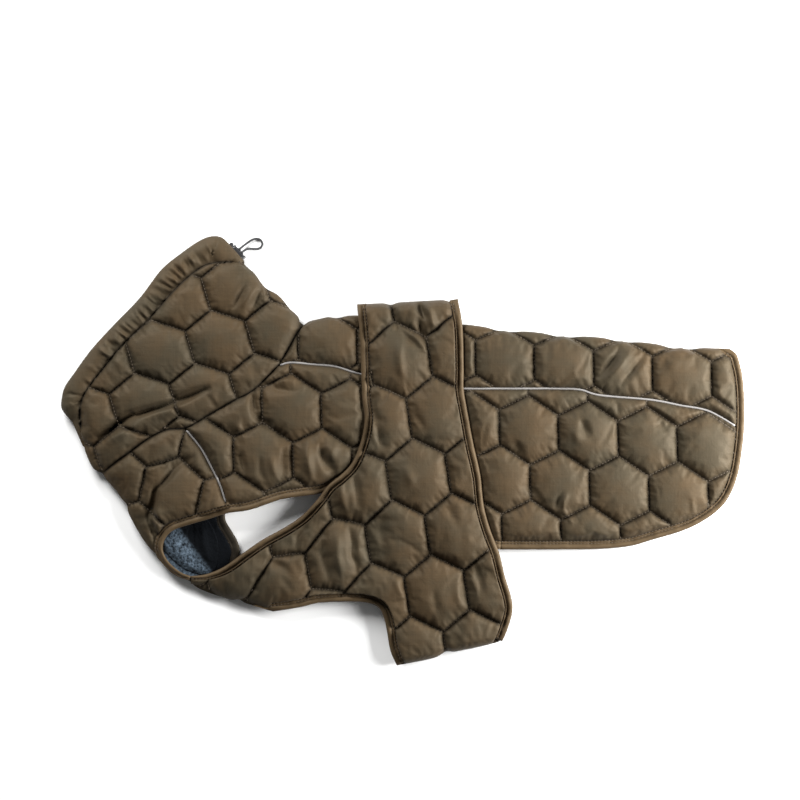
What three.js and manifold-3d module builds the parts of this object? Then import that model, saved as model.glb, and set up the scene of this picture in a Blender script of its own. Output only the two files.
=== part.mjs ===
// A quilted dog winter coat, laid flat on its side, in millimetres.
// X runs from collar to hem, Y from belly to spine, Z up from the surface it lies on.
// The origin is on that surface, under the middle of the coat.
import * as THREE from 'three'
import { mergeVertices } from 'three/addons/utils/BufferGeometryUtils.js'
import Module from 'manifold-3d'

const wasm = await Module()
wasm.setup()

// Driving sizes
const cellFacets = 3 // facets from a quilted cell's middle to its corner
const loft = 7 // how far a cell's padding rises over its stitches
const wall = 3 // quilted cloth at its stitches
const seamGap = 0.3 // between pieces that are sewn together
const bindingWidth = 8
const pipingWidth = 2.2
const casingWidth = 20
const cordWidth = 2.1
const foldDepth = 4 // cloth between a fold's outside and the hollow
const curveStep = 11 // length of an outline's straight facets
const smallest = 0.02 // cuts leave no edge shorter than this

// Heights of the layers over the surface
const farOverBand = 3.8
const farBandUnderCoat = farOverBand - seamGap
const hollowFloor = 7.2
const hollowRoof = 8
const nearStitch = hollowRoof + wall
const nearPressed = 12
const bandUnder = nearPressed + seamGap
const foldMiddle = (hollowFloor + hollowRoof) / 2
const above = 60
const below = -20

// Edges and seams, each row [x, y], in order round the coat with the cloth on the left
const rimEdge = [
  [-155, 185], [-163, 192.5], [-173, 193.5], [-184, 189], [-200, 178], [-218, 163], [-237, 138], [-261, 113],
  [-281, 91], [-297, 69], [-305, 57], [-307.7, 46], [-307.6, 38], [-302, 30], [-298, 26],
]
const collarFront = [[-298, 26], [-288, 3], [-280, -15], [-272, -22]]
const chestFold = [
  [-272, -22], [-257, -38], [-245, -61], [-236, -77], [-228, -88], [-218, -100], [-205, -113], [-191, -120],
]
const tongueFold = [[-191, -120], [-180, -126], [-160, -133], [-137, -139], [-117, -145]]
const farArmhole = [
  [-117, -145], [-135, -125], [-148, -105], [-146.5, -92], [-149, -82], [-154, -73], [-160, -62], [-158, -50],
  [-145, -42], [-120, -37], [-92, -34], [-56, -27],
]
const nearArmhole = [
  [-191, -113], [-199, -110], [-207, -104], [-213, -97], [-216, -88], [-213, -78], [-205, -71], [-190, -66],
  [-173, -61], [-157, -56], [-137, -53], [-110, -44], [-92, -41], [-72, -38], [-56, -30],
]
const coveredEdge = [[-56, -30], [-29, -37], [-2, -52], [29, -71], [58, -85], [88, -89]]
const hemEdge = [
  [88, -89], [142, -89], [178, -88.5], [205, -86], [226, -80], [250, -73], [268, -65], [285, -53], [295, -40],
  [302, -22], [306, 1], [308, 23], [308, 46], [306.5, 66], [304, 78], [301, 87], [295, 92],
]
const spineFold = [
  [295, 92], [270, 93], [244, 94.5], [194, 101], [142, 105], [90, 110], [56, 114], [-2, 119], [-42, 122],
  [-79, 120], [-90, 115],
]
const collarBack = [[-90, 115], [-99, 128], [-109, 138], [-125, 151], [-138, 166], [-155, 185]]
const collarSeam = [
  [-272, -22], [-259, -11], [-243, 1], [-227, 12], [-212, 19], [-194, 21], [-175, 32], [-154, 44], [-137, 53],
  [-121, 67], [-109, 81], [-99, 99], [-90, 115],
]
const casingSeam = [
  [-155, 170], [-175, 168], [-191, 158], [-207, 143], [-227, 120], [-254, 93], [-270, 73], [-284, 55],
  [-290, 40], [-290, 22],
]
const backSeam = [
  [-110, 77], [-101, 79.5], [-83, 78], [-61, 76], [-41, 70], [-2, 62], [34, 57], [60, 56], [88, 56],
  [115, 56], [142, 56], [160, 55], [178, 50], [223, 46], [250, 41], [272, 37], [287, 30], [303, 20],
]
const shoulderSeam = [[-196, 20], [-182, 3], [-173, -13], [-164, -31], [-159, -46]]
const bandTop = [[50, 137], [16, 135], [-41, 132]]
const bandFront = [
  [-41, 132], [-38, 100], [-37, 68], [-36, 46], [-34, 29], [-37, 10], [-45, -10], [-56, -22], [-67, -31],
  [-76, -43], [-90, -58], [-106, -69], [-126, -80], [-142, -91], [-160, -104], [-176, -111], [-191, -113],
]
const bandLower = [
  [-117, -145], [-92, -141], [-74, -137], [-47, -136], [-32, -137], [-22, -141], [-17, -150], [-14, -163],
  [-11, -180], [-5, -193.8],
]
const bandBottom = [[-5, -193.8], [25, -188], [40, -183], [65, -178], [90, -172]]
const bandRear = [
  [90, -172], [95, -160], [99, -145], [98, -132], [92, -112], [87, -92], [79, -71], [73, -49], [70, -22],
  [64, 5], [59, 32], [55, 55], [55, 73], [54, 110], [50, 137],
]

// Quilting: a hexagon's middle, and the steps to its neighbours along a row and to the next row
const bodyQuilt = { middle: [113.9, 18.7], along: [53.4, -5], next: [27.9, -49.5] }
const backQuilt = { middle: [92.3, 81.7], along: [53.1, -4.8], next: [27, -49] }
const chestQuilt = { middle: [-208, -36], along: [52, -12], next: [16, -52] }
const collarQuilt = { middle: [-164.3, 97.9], along: [54, 9], next: [14.4, 47.7] }
const bellyQuilt = { middle: [-2.3, 81.7], along: [53.6, 5.9], next: [35.1, -49.5] }

const toPoints = (rows) => rows.map(([x, y]) => new THREE.Vector2(x, y))

function curved(rows, step = curveStep) {
  const curve = new THREE.SplineCurve(toPoints(rows))
  return curve.getSpacedPoints(Math.max(2, Math.round(curve.getLength() / step)))
}

// Moves each point of a line towards its left by a distance that may vary along it
function moved(points, distance, closed = false) {
  const last = points.length - 1
  return points.map((point, i) => {
    const before = points[closed ? (i + last) % points.length : Math.max(i - 1, 0)]
    const after = points[closed ? (i + 1) % points.length : Math.min(i + 1, last)]
    const along = after.clone().sub(before).normalize()
    const by = typeof distance === 'function' ? distance(i / last) : distance
    return new THREE.Vector2(point.x - along.y * by, point.y + along.x * by)
  })
}

function joined(...lines) {
  const points = lines.flat()
  return points.filter((point, i) => point.distanceTo(points[(i + 1) % points.length]) > 0.5)
}

// Signed distance from a point to a closed outline, positive inside it
function depthIn(outline, x, y) {
  let nearest = Infinity
  let inside = false
  outline.forEach((a, i) => {
    const b = outline[(i + 1) % outline.length]
    const dx = b.x - a.x
    const dy = b.y - a.y
    const t = THREE.MathUtils.clamp(((x - a.x) * dx + (y - a.y) * dy) / (dx * dx + dy * dy), 0, 1)
    nearest = Math.min(nearest, Math.hypot(x - a.x - t * dx, y - a.y - t * dy))
    if (a.y > y !== b.y > y && x < a.x + ((y - a.y) * dx) / dy) {
      inside = !inside
    }
  })
  return inside ? nearest : -nearest
}

function distanceTo(line, x, y) {
  let nearest = Infinity
  for (let i = 0; i + 1 < line.length; i++) {
    const segment = new THREE.Line3(
      new THREE.Vector3(line[i].x, line[i].y, 0),
      new THREE.Vector3(line[i + 1].x, line[i + 1].y, 0),
    )
    const target = segment.closestPointToPoint(new THREE.Vector3(x, y, 0), true, new THREE.Vector3())
    nearest = Math.min(nearest, Math.hypot(x - target.x, y - target.y))
  }
  return nearest
}

// Solids
function toSolid(geometry) {
  const bare = geometry.clone()
  bare.deleteAttribute('normal')
  bare.deleteAttribute('uv')
  const merged = mergeVertices(bare, 1e-4)
  const mesh = new wasm.Mesh({
    numProp: 3,
    vertProperties: merged.attributes.position.array,
    triVerts: Uint32Array.from(merged.index.array),
  })
  return new wasm.Manifold(mesh)
}

function toGeometry(solid) {
  const mesh = solid.simplify(smallest).getMesh()
  const geometry = new THREE.BufferGeometry()
  geometry.setAttribute('position', new THREE.BufferAttribute(new Float32Array(mesh.vertProperties), 3))
  geometry.setIndex(new THREE.BufferAttribute(new Uint32Array(mesh.triVerts), 1))
  geometry.computeVertexNormals()
  return geometry
}

function prism(outline, low, high) {
  const geometry = new THREE.ExtrudeGeometry(new THREE.Shape(outline), {
    depth: high - low,
    bevelEnabled: false,
    steps: 1,
  })
  geometry.translate(0, 0, low)
  return toSolid(geometry)
}

// A closed body from rings that all have the same number of points, both ends capped as flat is filled
function ringBody(rings, flat) {
  const count = rings[0].length
  const positions = rings.flat().flatMap((p) => [p.x, p.y, p.z])
  const faces = []
  for (let r = 0; r + 1 < rings.length; r++) {
    for (let i = 0; i < count; i++) {
      const a = r * count + i
      const b = r * count + ((i + 1) % count)
      faces.push(a, b, b + count, a, b + count, a + count)
    }
  }
  const cap = THREE.ShapeUtils.triangulateShape(flat, [])
  const top = (rings.length - 1) * count
  for (const [a, b, c] of cap) {
    faces.push(c, b, a, top + a, top + b, top + c)
  }
  const geometry = new THREE.BufferGeometry()
  geometry.setAttribute('position', new THREE.BufferAttribute(new Float32Array(positions), 3))
  geometry.setIndex(faces)
  return toSolid(geometry)
}

// A layer's outline with its edge rolled; the profile's rows are [inset, height]
function rolled(outline, profile) {
  const rings = profile.map(([inset, height]) =>
    moved(outline, inset, true).map((p) => new THREE.Vector3(p.x, p.y, height)),
  )
  return ringBody(rings, outline)
}

// Everything under a surface that is given over a grid of two steps
function under(columns, rows, pointAt) {
  const positions = []
  for (const floor of [false, true]) {
    for (let j = 0; j <= rows; j++) {
      for (let i = 0; i <= columns; i++) {
        const [x, y, z] = pointAt(i, j)
        positions.push(x, y, floor ? below : z)
      }
    }
  }
  const across = columns + 1
  const layer = across * (rows + 1)
  const faces = []
  for (let j = 0; j < rows; j++) {
    for (let i = 0; i < columns; i++) {
      const a = j * across + i
      faces.push(a, a + 1, a + across, a + 1, a + across + 1, a + across)
      faces.push(layer + a, layer + a + across, layer + a + 1)
      faces.push(layer + a + 1, layer + a + across, layer + a + across + 1)
    }
  }
  const side = (a, b) => faces.push(a, layer + a, b, b, layer + a, layer + b)
  for (let i = 0; i < columns; i++) {
    side(i, i + 1)
    side(rows * across + i + 1, rows * across + i)
  }
  for (let j = 0; j < rows; j++) {
    side((j + 1) * across, j * across)
    side(j * across + columns, (j + 1) * across + columns)
  }
  const [o, e, n] = [pointAt(0, 0), pointAt(1, 0), pointAt(0, 1)]
  const turned = (e[0] - o[0]) * (n[1] - o[1]) - (e[1] - o[1]) * (n[0] - o[0]) < 0
  if (turned) {
    faces.reverse()
  }
  const geometry = new THREE.BufferGeometry()
  geometry.setAttribute('position', new THREE.BufferAttribute(new Float32Array(positions), 3))
  geometry.setIndex(faces)
  return toSolid(geometry)
}

// The corners of a quilted hexagon are thirds of the way between its neighbours' middles
function cornerSteps(quilt) {
  const along = new THREE.Vector2(...quilt.along)
  const next = new THREE.Vector2(...quilt.next)
  return [
    along.clone().add(next).divideScalar(3),
    next.clone().multiplyScalar(2).sub(along).divideScalar(3),
  ]
}

// How far a facet's corner is from its cell's middle: 0 in the middle, 1 on the stitches
function cellRadius(i, j) {
  const u = i / cellFacets
  const v = j / cellFacets
  let nearest = Infinity
  for (let p = Math.floor(u) - 1; p <= Math.ceil(u) + 1; p++) {
    for (let q = Math.floor(v) - 1; q <= Math.ceil(v) + 1; q++) {
      const isMiddle = (((p - q) % 3) + 3) % 3 === 0
      if (isMiddle) {
        const a = u - p
        const b = v - q
        nearest = Math.min(nearest, Math.max(Math.abs(a), Math.abs(b), Math.abs(a + b)))
      }
    }
  }
  return Math.min(nearest, 1)
}

const pressedWidth = 11 // how far from a seam or bound edge the padding is pressed down
const puff = (radius) => Math.pow(1 - Math.pow(radius, 2.4), 0.75)

// Quilted top of a panel: stitches at a base height, cells raised but pressed flat by the panel's seams
function quilted(quilt, box, base, seams, warp = () => 0) {
  const [first, second] = cornerSteps(quilt).map((step) => step.divideScalar(cellFacets))
  const middle = new THREE.Vector2(...quilt.middle)
  const cross = first.x * second.y - first.y * second.x
  const corners = [
    [box[0], box[1]], [box[2], box[1]], [box[2], box[3]], [box[0], box[3]],
  ].map(([x, y]) => [
    ((x - middle.x) * second.y - (y - middle.y) * second.x) / cross,
    ((y - middle.y) * first.x - (x - middle.x) * first.y) / cross,
  ])
  const low = [0, 1].map((k) => Math.floor(Math.min(...corners.map((c) => c[k]))))
  const high = [0, 1].map((k) => Math.ceil(Math.max(...corners.map((c) => c[k]))))
  return under(high[0] - low[0], high[1] - low[1], (column, row) => {
    const i = low[0] + column
    const j = low[1] + row
    const x = middle.x + i * first.x + j * second.x
    const flatY = middle.y + i * first.y + j * second.y
    const y = flatY + warp(x)
    const nearSeam = Math.min(...seams.map((seam) => distanceTo(seam, x, y)))
    const pressed = THREE.MathUtils.smoothstep(nearSeam, 0, pressedWidth)
    return [x, y, base(x, y) + loft * puff(cellRadius(i, j)) * pressed]
  })
}

// A strip of cloth along a line, from one offset to another, cut through the layers
function strip(line, from, to, low, high) {
  return prism([...moved(line, from), ...moved(line, to).reverse()], low, high)
}

const largest = (solid) => solid.decompose().sort((a, b) => b.volume() - a.volume())[0]

// Outlines
const lines = {
  rim: curved(rimEdge, 9),
  collarFront: curved(collarFront),
  chestFold: curved(chestFold),
  tongueFold: curved(tongueFold),
  farArmhole: curved(farArmhole, 9),
  nearArmhole: curved(nearArmhole, 9),
  coveredEdge: curved(coveredEdge),
  hem: curved(hemEdge, 12),
  spine: curved(spineFold, 20),
  collarBack: curved(collarBack),
  collarSeam: curved(collarSeam),
  casingSeam: curved(casingSeam),
  backSeam: curved(backSeam, 13),
  shoulderSeam: curved(shoulderSeam),
  bandTop: curved(bandTop, 20),
  bandFront: curved(bandFront),
  bandLower: curved(bandLower, 8),
  bandBottom: curved(bandBottom, 16),
  bandRear: curved(bandRear, 14),
}
const farLowerEdge = [...lines.farArmhole, ...lines.coveredEdge.slice(1)]
const nearOutline = joined(
  lines.rim, lines.collarFront, lines.chestFold, lines.nearArmhole, lines.coveredEdge, lines.hem, lines.spine,
  lines.collarBack,
)
const farOutline = joined(
  lines.rim, lines.collarFront, lines.chestFold, lines.tongueFold, farLowerEdge, lines.hem, lines.spine,
  lines.collarBack,
)
const bellyOutline = joined(
  lines.bandTop, lines.bandFront, lines.tongueFold, lines.bandLower, lines.bandBottom, lines.bandRear,
)
const bandClosing = toPoints([[-56, -22], [-52, -60], [-30, -110], [-22, -141]])
const farBandOutline = joined(
  lines.bandTop, lines.bandFront.filter((p) => p.y > -18), bandClosing,
  lines.bandLower.filter((p) => p.x > -20), lines.bandBottom, lines.bandRear,
)
const hollowOutline = joined(
  moved(lines.rim, -12), moved(lines.collarFront, foldDepth), moved(lines.chestFold, foldDepth),
  toPoints([[-195, -140], [-100, -240], [370, -240], [370, 88]]), moved(lines.spine, foldDepth),
  moved(lines.collarBack, foldDepth),
)

// Regions that the seams divide the coat into, each closed by corners well outside it
const region = (line, corners) => prism(joined(line, toPoints(corners)), below, above)
const collarRegion = region(
  lines.collarSeam,
  [[-80, 135], [-60, 260], [-400, 260], [-400, -80], [-300, -60]],
)
const casingRegion = region(
  [...toPoints([[-120, 172]]), ...lines.casingSeam, ...toPoints([[-287, -10]])],
  [[-400, -10], [-400, 260], [-120, 260]],
)
const backRegion = region(
  [...toPoints([[-150, 70]]), ...lines.backSeam, ...toPoints([[340, -4]])],
  [[340, 220], [-150, 220]],
)
const chestRegion = region(
  [...toPoints([[-206, 36]]), ...lines.shoulderSeam, ...toPoints([[-142, -58], [-100, -150]])],
  [[-100, -180], [-340, -180], [-340, 36]],
)

// Layers of the coat without their quilting; the rows of a fold's profile are [inset, height]
const nearRoll = [[0, foldMiddle - 0.2], [0, 8.8], [1.4, 11.6], [foldDepth, 13.6], [foldDepth, above]]
const farRoll = [[2.2, 0], [0, 4.2], [0, foldMiddle + 0.2]]
const nearLayer = rolled(nearOutline, nearRoll)
const farLayer = rolled(farOutline, farRoll)
const farBandSpace = prism(moved(farBandOutline, -seamGap, true), below, farOverBand)
const pressedSpace = prism(moved(bellyOutline, -seamGap, true), nearPressed, above)
const hollow = prism(hollowOutline, hollowFloor, hollowRoof)

// Cuts between the pieces
const cut = (line, half = seamGap / 2, low = below, high = above) => strip(line, half, -half, low, high)
const extended = (line, length) => {
  const start = line[0].clone().sub(line[1]).setLength(length).add(line[0])
  const end = line.at(-1).clone().sub(line.at(-2)).setLength(length).add(line.at(-1))
  return [start, ...line, end]
}
const narrowBinding = 4.2 // in the near armhole's tight corner
const taperLength = 1 / 9 // share of an edge along which its binding grows to full width
const taper = (t) => THREE.MathUtils.lerp(narrowBinding, bindingWidth, Math.min(1, t / taperLength))
const nearArmholeLine = [...lines.nearArmhole, ...lines.coveredEdge.slice(1)]
const bandFrontTaper = (t) => taper(1 - t)
const nearLow = foldMiddle - 0.3
const farHigh = foldMiddle + 0.3
const pipingRoom = pipingWidth / 2 + seamGap
const pastFold = 12 // a seam's cut runs on past the fold that it ends at
const pastEdge = 3 // an edge's cut reaches past the cloth
const collarCut = cut(extended(lines.collarSeam, pastFold))
const casingCut = cut(extended(lines.casingSeam, pastFold + 2))
const seamCuts = [
  collarCut,
  casingCut,
  cut(extended(lines.backSeam, pastFold)),
  cut(lines.backSeam, pipingRoom, nearLow, above),
  cut(extended(lines.shoulderSeam, pastEdge + 1)),
  cut(lines.shoulderSeam, pipingRoom, nearLow, above),
]
const edgeCut = (line, width, low, high) => strip(line, width, -pastEdge, low, high)
const boundWidth = bindingWidth + seamGap
const nearEdgeCuts = [
  edgeCut(nearArmholeLine, (t) => taper(t) + seamGap, nearLow, above),
  edgeCut(extended(lines.hem, pastEdge), boundWidth, nearLow, above),
]
const farEdgeCuts = [
  edgeCut(farLowerEdge, boundWidth, below, farHigh),
  edgeCut(extended(lines.hem, pastEdge), boundWidth, below, farHigh),
]

// The cord lock lies under the collar's back fold
const lockMiddle = { x: -149.5, y: 178, z: 4.1 }
const lockSize = { radius: 4, length: 15, button: 3.2, travel: 4 }
const lockRoom = 1.5 // past each end of the lock and its button
const lockSpaceTop = 8.4
const lockTurn = -0.86
const lockAlong = new THREE.Vector2(Math.cos(lockTurn), Math.sin(lockTurn))
const lockSpaceLine = [-1, 1].map((end) =>
  new THREE.Vector2(lockMiddle.x, lockMiddle.y).addScaledVector(
    lockAlong,
    end * (lockSize.length / 2 + lockSize.travel + lockRoom),
  ),
)
const lockSpace = strip(
  lockSpaceLine, lockSize.radius + pastFold, -(lockSize.radius + seamGap), below, lockSpaceTop,
)

// Panels
const flatBase = () => nearStitch

function coatPanel(quilt, box, seams, regionSolid, cuts) {
  let near = quilted(quilt, box, flatBase, seams).intersect(nearLayer).subtract(pressedSpace)
  let far = farLayer.subtract(farBandSpace)
  for (const edge of nearEdgeCuts) {
    near = near.subtract(edge)
  }
  for (const edge of farEdgeCuts) {
    far = far.subtract(edge)
  }
  let panel = regionSolid(near.add(far).subtract(hollow))
  for (const each of cuts) {
    panel = panel.subtract(each)
  }
  return panel
}

const coatSeams = [lines.collarSeam, lines.backSeam, nearArmholeLine, lines.hem]
const collar = largest(
  coatPanel(
    collarQuilt, [-320, -60, -70, 210], [lines.collarSeam, lines.casingSeam],
    (panel) => panel.intersect(collarRegion).subtract(casingRegion), [...seamCuts, lockSpace],
  ),
)
const backPanel = largest(
  coatPanel(
    backQuilt, [-150, 0, 320, 150], coatSeams,
    (panel) => panel.intersect(backRegion).subtract(collarRegion), seamCuts,
  ),
)
const sideParts = coatPanel(
  bodyQuilt, [-220, -110, 320, 90], [...coatSeams, lines.shoulderSeam],
  (panel) => panel.subtract(backRegion).subtract(collarRegion).subtract(chestRegion), seamCuts,
)
const [sideNear, sideFar] = sideParts
  .decompose()
  .sort((a, b) => b.volume() - a.volume())
  .slice(0, 2)
  .sort((a, b) => b.boundingBox().max[2] - a.boundingBox().max[2])

// Grey fleece inside the chest, where the armhole shows it
const liningRows = [
  [-221, -84], [-207, -99], [-192, -109], [-172, -112], [-166, -90], [-170, -72], [-180, -59], [-196, -56],
  [-212, -66],
]
const liningOutline = curved([...liningRows, liningRows[0]], 8).slice(0, -1)
const liningThick = 1.2
const liningTop = hollowFloor + 0.2
const lining = prism(liningOutline, liningTop - liningThick, liningTop)
const liningSpace = prism(
  moved(liningOutline, -seamGap, true), liningTop - liningThick - seamGap, hollowRoof - 0.1,
)
const tongueSpace = prism(moved(bellyOutline, -seamGap, true).filter((p) => p.x < -90), hollowFloor, above)
const chest = largest(
  coatPanel(
    chestQuilt, [-310, -180, -90, 60], [lines.collarSeam, lines.shoulderSeam, lines.nearArmhole],
    (panel) => panel.intersect(chestRegion).subtract(collarRegion), [...seamCuts, liningSpace, tongueSpace],
  ),
)

// Casing: a gathered tunnel along the rim
const casingLine = extended(lines.rim, 22)
const gatherLength = 11
const gatherHeight = 1.1
function casingTop() {
  const line = new THREE.SplineCurve(casingLine)
  const columns = Math.round(line.getLength() / (gatherLength / 2))
  const along = line.getSpacedPoints(columns)
  // Rows across the casing: [inset from the rim, height over the stitches]
  const across = [[-6, -1], [0, -0.5], [4, 3], [10, 4.2], [16, 2.6], [casingWidth, 0], [casingWidth + 8, 0]]
  const offsets = across.map(([inset]) => moved(along, inset))
  return under(columns, across.length - 1, (i, j) => {
    const gather = gatherHeight * (i % 2 ? 1 : -1) * THREE.MathUtils.smoothstep(j, 1, 3)
    const point = offsets[j][i]
    return [point.x, point.y, nearStitch + across[j][1] + gather]
  })
}
const casing = largest(
  casingTop()
    .intersect(nearLayer)
    .add(farLayer)
    .subtract(hollow)
    .intersect(casingRegion)
    .subtract(casingCut)
    .subtract(lockSpace),
)

// Belly panel: the tongue between the legs and the wing over the back
// Its underside rises from the tongue to lie on the coat, and comes down again past the coat's edge
const rise = { from: -150, to: -95 }
const fall = { from: 6, to: 28 }
function bandLevel(x, y) {
  const outside = -depthIn(nearOutline, x, y)
  const fromTongue = THREE.MathUtils.smoothstep(x, rise.from, rise.to)
  const over = 1 - THREE.MathUtils.smoothstep(outside, fall.from, fall.to)
  return hollowRoof + (bandUnder - hollowRoof) * over * fromTongue
}
const tongueBend = 0.0031
const bellyWarp = (x) => -tongueBend * Math.min(x + 3, 0) ** 2
const bellyRoll = [[0, 7.5], [0, 9], [1.4, 12], [foldDepth, 14.4], [foldDepth, above]]
const bellyLayer = rolled(bellyOutline, bellyRoll)
const tongueEnd = -170
const coatUnderBand = prism(
  moved(nearOutline, -2, true).filter((p) => p.x > tongueEnd),
  below,
  bandUnder,
)
const bellyHollow = prism(
  joined(
    moved(lines.bandTop, foldDepth), moved(lines.bandFront, -6), moved(lines.tongueFold, foldDepth),
    moved(lines.bandLower, -6), moved(lines.bandBottom, foldDepth), moved(lines.bandRear, -6),
  ),
  below,
  hollowRoof,
)
const bellyEdgeCuts = [
  edgeCut(extended(lines.bandFront, pastEdge), (t) => bandFrontTaper(t) + seamGap, below, above),
  edgeCut(extended(lines.bandLower, pastEdge), boundWidth, below, above),
  edgeCut(extended(lines.bandRear, pastEdge), boundWidth, below, above),
]
let belly = quilted(
  bellyQuilt, [-210, -210, 110, 250], (x, y) => bandLevel(x, y) + wall,
  [lines.bandFront, lines.bandLower, lines.bandRear], bellyWarp,
)
  .intersect(bellyLayer)
  .subtract(coatUnderBand)
  .subtract(bellyHollow)
for (const edge of bellyEdgeCuts) {
  belly = belly.subtract(edge)
}
belly = largest(belly)

// Belly band, far side: thin under the coat, thicker past it
const farBandRoll = [[2.2, 0], [0, 4.2], [0, hollowFloor]]
const bellyBandFar = largest(
  rolled(farBandOutline, farBandRoll).subtract(
    prism(moved(farOutline, -seamGap * 2, true), farBandUnderCoat, above),
  ),
)

const tapeEnd = 0.12 // share of a facet that a tape stops short of the next one

// Bindings: folded tape along a bound edge; the section's rows are [share of the width, height]
const tapeSection = [[0, 0], [1, 0], [1, 0.6], [0.5, 1], [0, 0.6]]
function binding(wholeLine, width, low, thick) {
  const line = [...wholeLine]
  line[0] = wholeLine[0].clone().lerp(wholeLine[1], tapeEnd)
  line[line.length - 1] = wholeLine.at(-1).clone().lerp(wholeLine.at(-2), tapeEnd)
  const insets = tapeSection.map(([share]) =>
    moved(line, (t) => share * (typeof width === 'function' ? width(t) : width)),
  )
  const rings = line.map((point, i) =>
    tapeSection.map(([, height], k) => {
      const place = insets[k][i]
      return new THREE.Vector3(place.x, place.y, low(place.x, place.y) + height * thick)
    }),
  )
  const section = tapeSection.map(
    ([share, height]) => new THREE.Vector2(share * bindingWidth, height * thick),
  )
  return ringBody(rings, section)
}
const farTapeUnder = farOverBand + 0.1
const nearTape = nearPressed - hollowRoof
const farTape = hollowFloor - farTapeUnder
const onNear = () => hollowRoof
const onFar = () => farTapeUnder
const bandEdgeLevel = (line) => {
  const levels = line.map((p) => bandLevel(p.x, p.y))
  return (x, y) => {
    let best = 0
    line.forEach((p, i) => {
      if (Math.hypot(p.x - x, p.y - y) < Math.hypot(line[best].x - x, line[best].y - y)) {
        best = i
      }
    })
    return Math.max(levels[best], bandLevel(x, y))
  }
}

// Pipings: a thin cord in the seam
const pipingHeight = nearPressed - pipingWidth / 2 - 0.2
function piping(line, height) {
  const path = new THREE.CatmullRomCurve3(line.map((p) => new THREE.Vector3(p.x, p.y, height)))
  const section = new THREE.Shape(
    new THREE.EllipseCurve(0, 0, pipingWidth / 2, pipingWidth / 2).getPoints(6).slice(0, -1),
  )
  return new THREE.ExtrudeGeometry(section, { steps: line.length, extrudePath: path, bevelEnabled: false })
}

// The elastic cord's loop, out of the lock and down to the surface, each row [x, y, z]
const cordRoute = [
  [-147.4, 182.2, 4], [-145.2, 184.1, 3.6], [-142.5, 186.3, 2.4], [-139.3, 188.8, 1.4], [-135.8, 190.9, 1.1],
  [-132.2, 191.9, 1.1], [-128.8, 191, 1.1], [-127, 188, 1.1], [-127.6, 184.8, 1.1], [-130.2, 182.8, 1.1],
  [-133.8, 182.5, 1.1], [-137.6, 182.6, 1.4], [-141, 182, 2.5], [-143.4, 180.7, 3.6], [-145.1, 179.4, 4],
]
function cordLoop() {
  const path = new THREE.CatmullRomCurve3(cordRoute.map((row) => new THREE.Vector3(...row)))
  const section = new THREE.Shape(
    new THREE.EllipseCurve(0, 0, cordWidth / 2, cordWidth / 2).getPoints(8).slice(0, -1),
  )
  return new THREE.ExtrudeGeometry(section, { steps: 24, extrudePath: path, bevelEnabled: false })
}

// Materials
const nylon = new THREE.MeshStandardMaterial({ color: 0x5a4c38, roughness: 0.5, metalness: 0 })
const tape = new THREE.MeshStandardMaterial({ color: 0x40362a, roughness: 0.6, metalness: 0 })
const fleece = new THREE.MeshStandardMaterial({ color: 0x4a5866, roughness: 0.95, metalness: 0 })
const reflective = new THREE.MeshStandardMaterial({ color: 0xb9b9b6, roughness: 0.35, metalness: 0 })
const blackPlastic = new THREE.MeshStandardMaterial({ color: 0x141414, roughness: 0.4, metalness: 0 })
const blackElastic = new THREE.MeshStandardMaterial({ color: 0x1b1b1c, roughness: 0.8, metalness: 0 })

const coat = new THREE.Group()
function addPiece(name, shape, material) {
  const geometry = shape.isBufferGeometry ? shape : toGeometry(shape)
  const mesh = new THREE.Mesh(geometry, material)
  mesh.name = name
  coat.add(mesh)
  return mesh
}

addPiece('collar', collar, nylon)
addPiece('drawcord_casing', casing, nylon)
addPiece('back_panel', backPanel, nylon)
addPiece('side_panel_near', sideNear, nylon)
addPiece('side_panel_far', sideFar, nylon)
addPiece('chest_panel', chest, nylon)
addPiece('chest_lining', lining, fleece)
addPiece('belly_panel', belly, nylon)
addPiece('belly_band_far', bellyBandFar, nylon)
const bindings = [
  ['armhole_binding_near', nearArmholeLine, taper, onNear, nearTape],
  ['hem_binding_near', lines.hem, bindingWidth, onNear, nearTape],
  ['armhole_binding_far', farLowerEdge, bindingWidth, onFar, farTape],
  ['hem_binding_far', lines.hem, bindingWidth, onFar, farTape],
  ['band_front_binding', lines.bandFront, bandFrontTaper, bandEdgeLevel(lines.bandFront), nearTape],
  ['band_lower_binding', lines.bandLower, bindingWidth, onNear, nearTape],
  ['band_rear_binding', lines.bandRear, bindingWidth, bandEdgeLevel(lines.bandRear), nearTape],
]
for (const [name, line, width, low, thick] of bindings) {
  addPiece(name, binding(line, width, low, thick), tape)
}
addPiece('back_piping', piping(lines.backSeam.slice(1, -1), pipingHeight), reflective)
addPiece('shoulder_piping', piping(lines.shoulderSeam, pipingHeight), reflective)

const lock = addPiece(
  'cord_lock',
  new THREE.CylinderGeometry(lockSize.radius, lockSize.radius, lockSize.length, 20),
  blackPlastic,
)
lock.position.set(lockMiddle.x, lockMiddle.y, lockMiddle.z)
lock.rotation.z = lockTurn - Math.PI / 2
const button = addPiece(
  'cord_lock_button',
  new THREE.CylinderGeometry(lockSize.button, lockSize.button, lockSize.travel, 16),
  blackPlastic,
)
const buttonAt = lockAlong.clone().multiplyScalar(-(lockSize.length + lockSize.travel) / 2 - 0.02)
button.position.set(lockMiddle.x + buttonAt.x, lockMiddle.y + buttonAt.y, lockMiddle.z)
button.rotation.z = lockTurn - Math.PI / 2
addPiece('drawcord', cordLoop(), blackElastic)

export default coat
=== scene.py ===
"""The looks of a quilted dog winter coat that lies flat on its side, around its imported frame.

Tables are in millimetres in the coat's own frame: X runs from collar to hem, Y from belly to
spine, and Z up from the surface that it lies on. Meshes are made in metres.
"""

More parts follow.
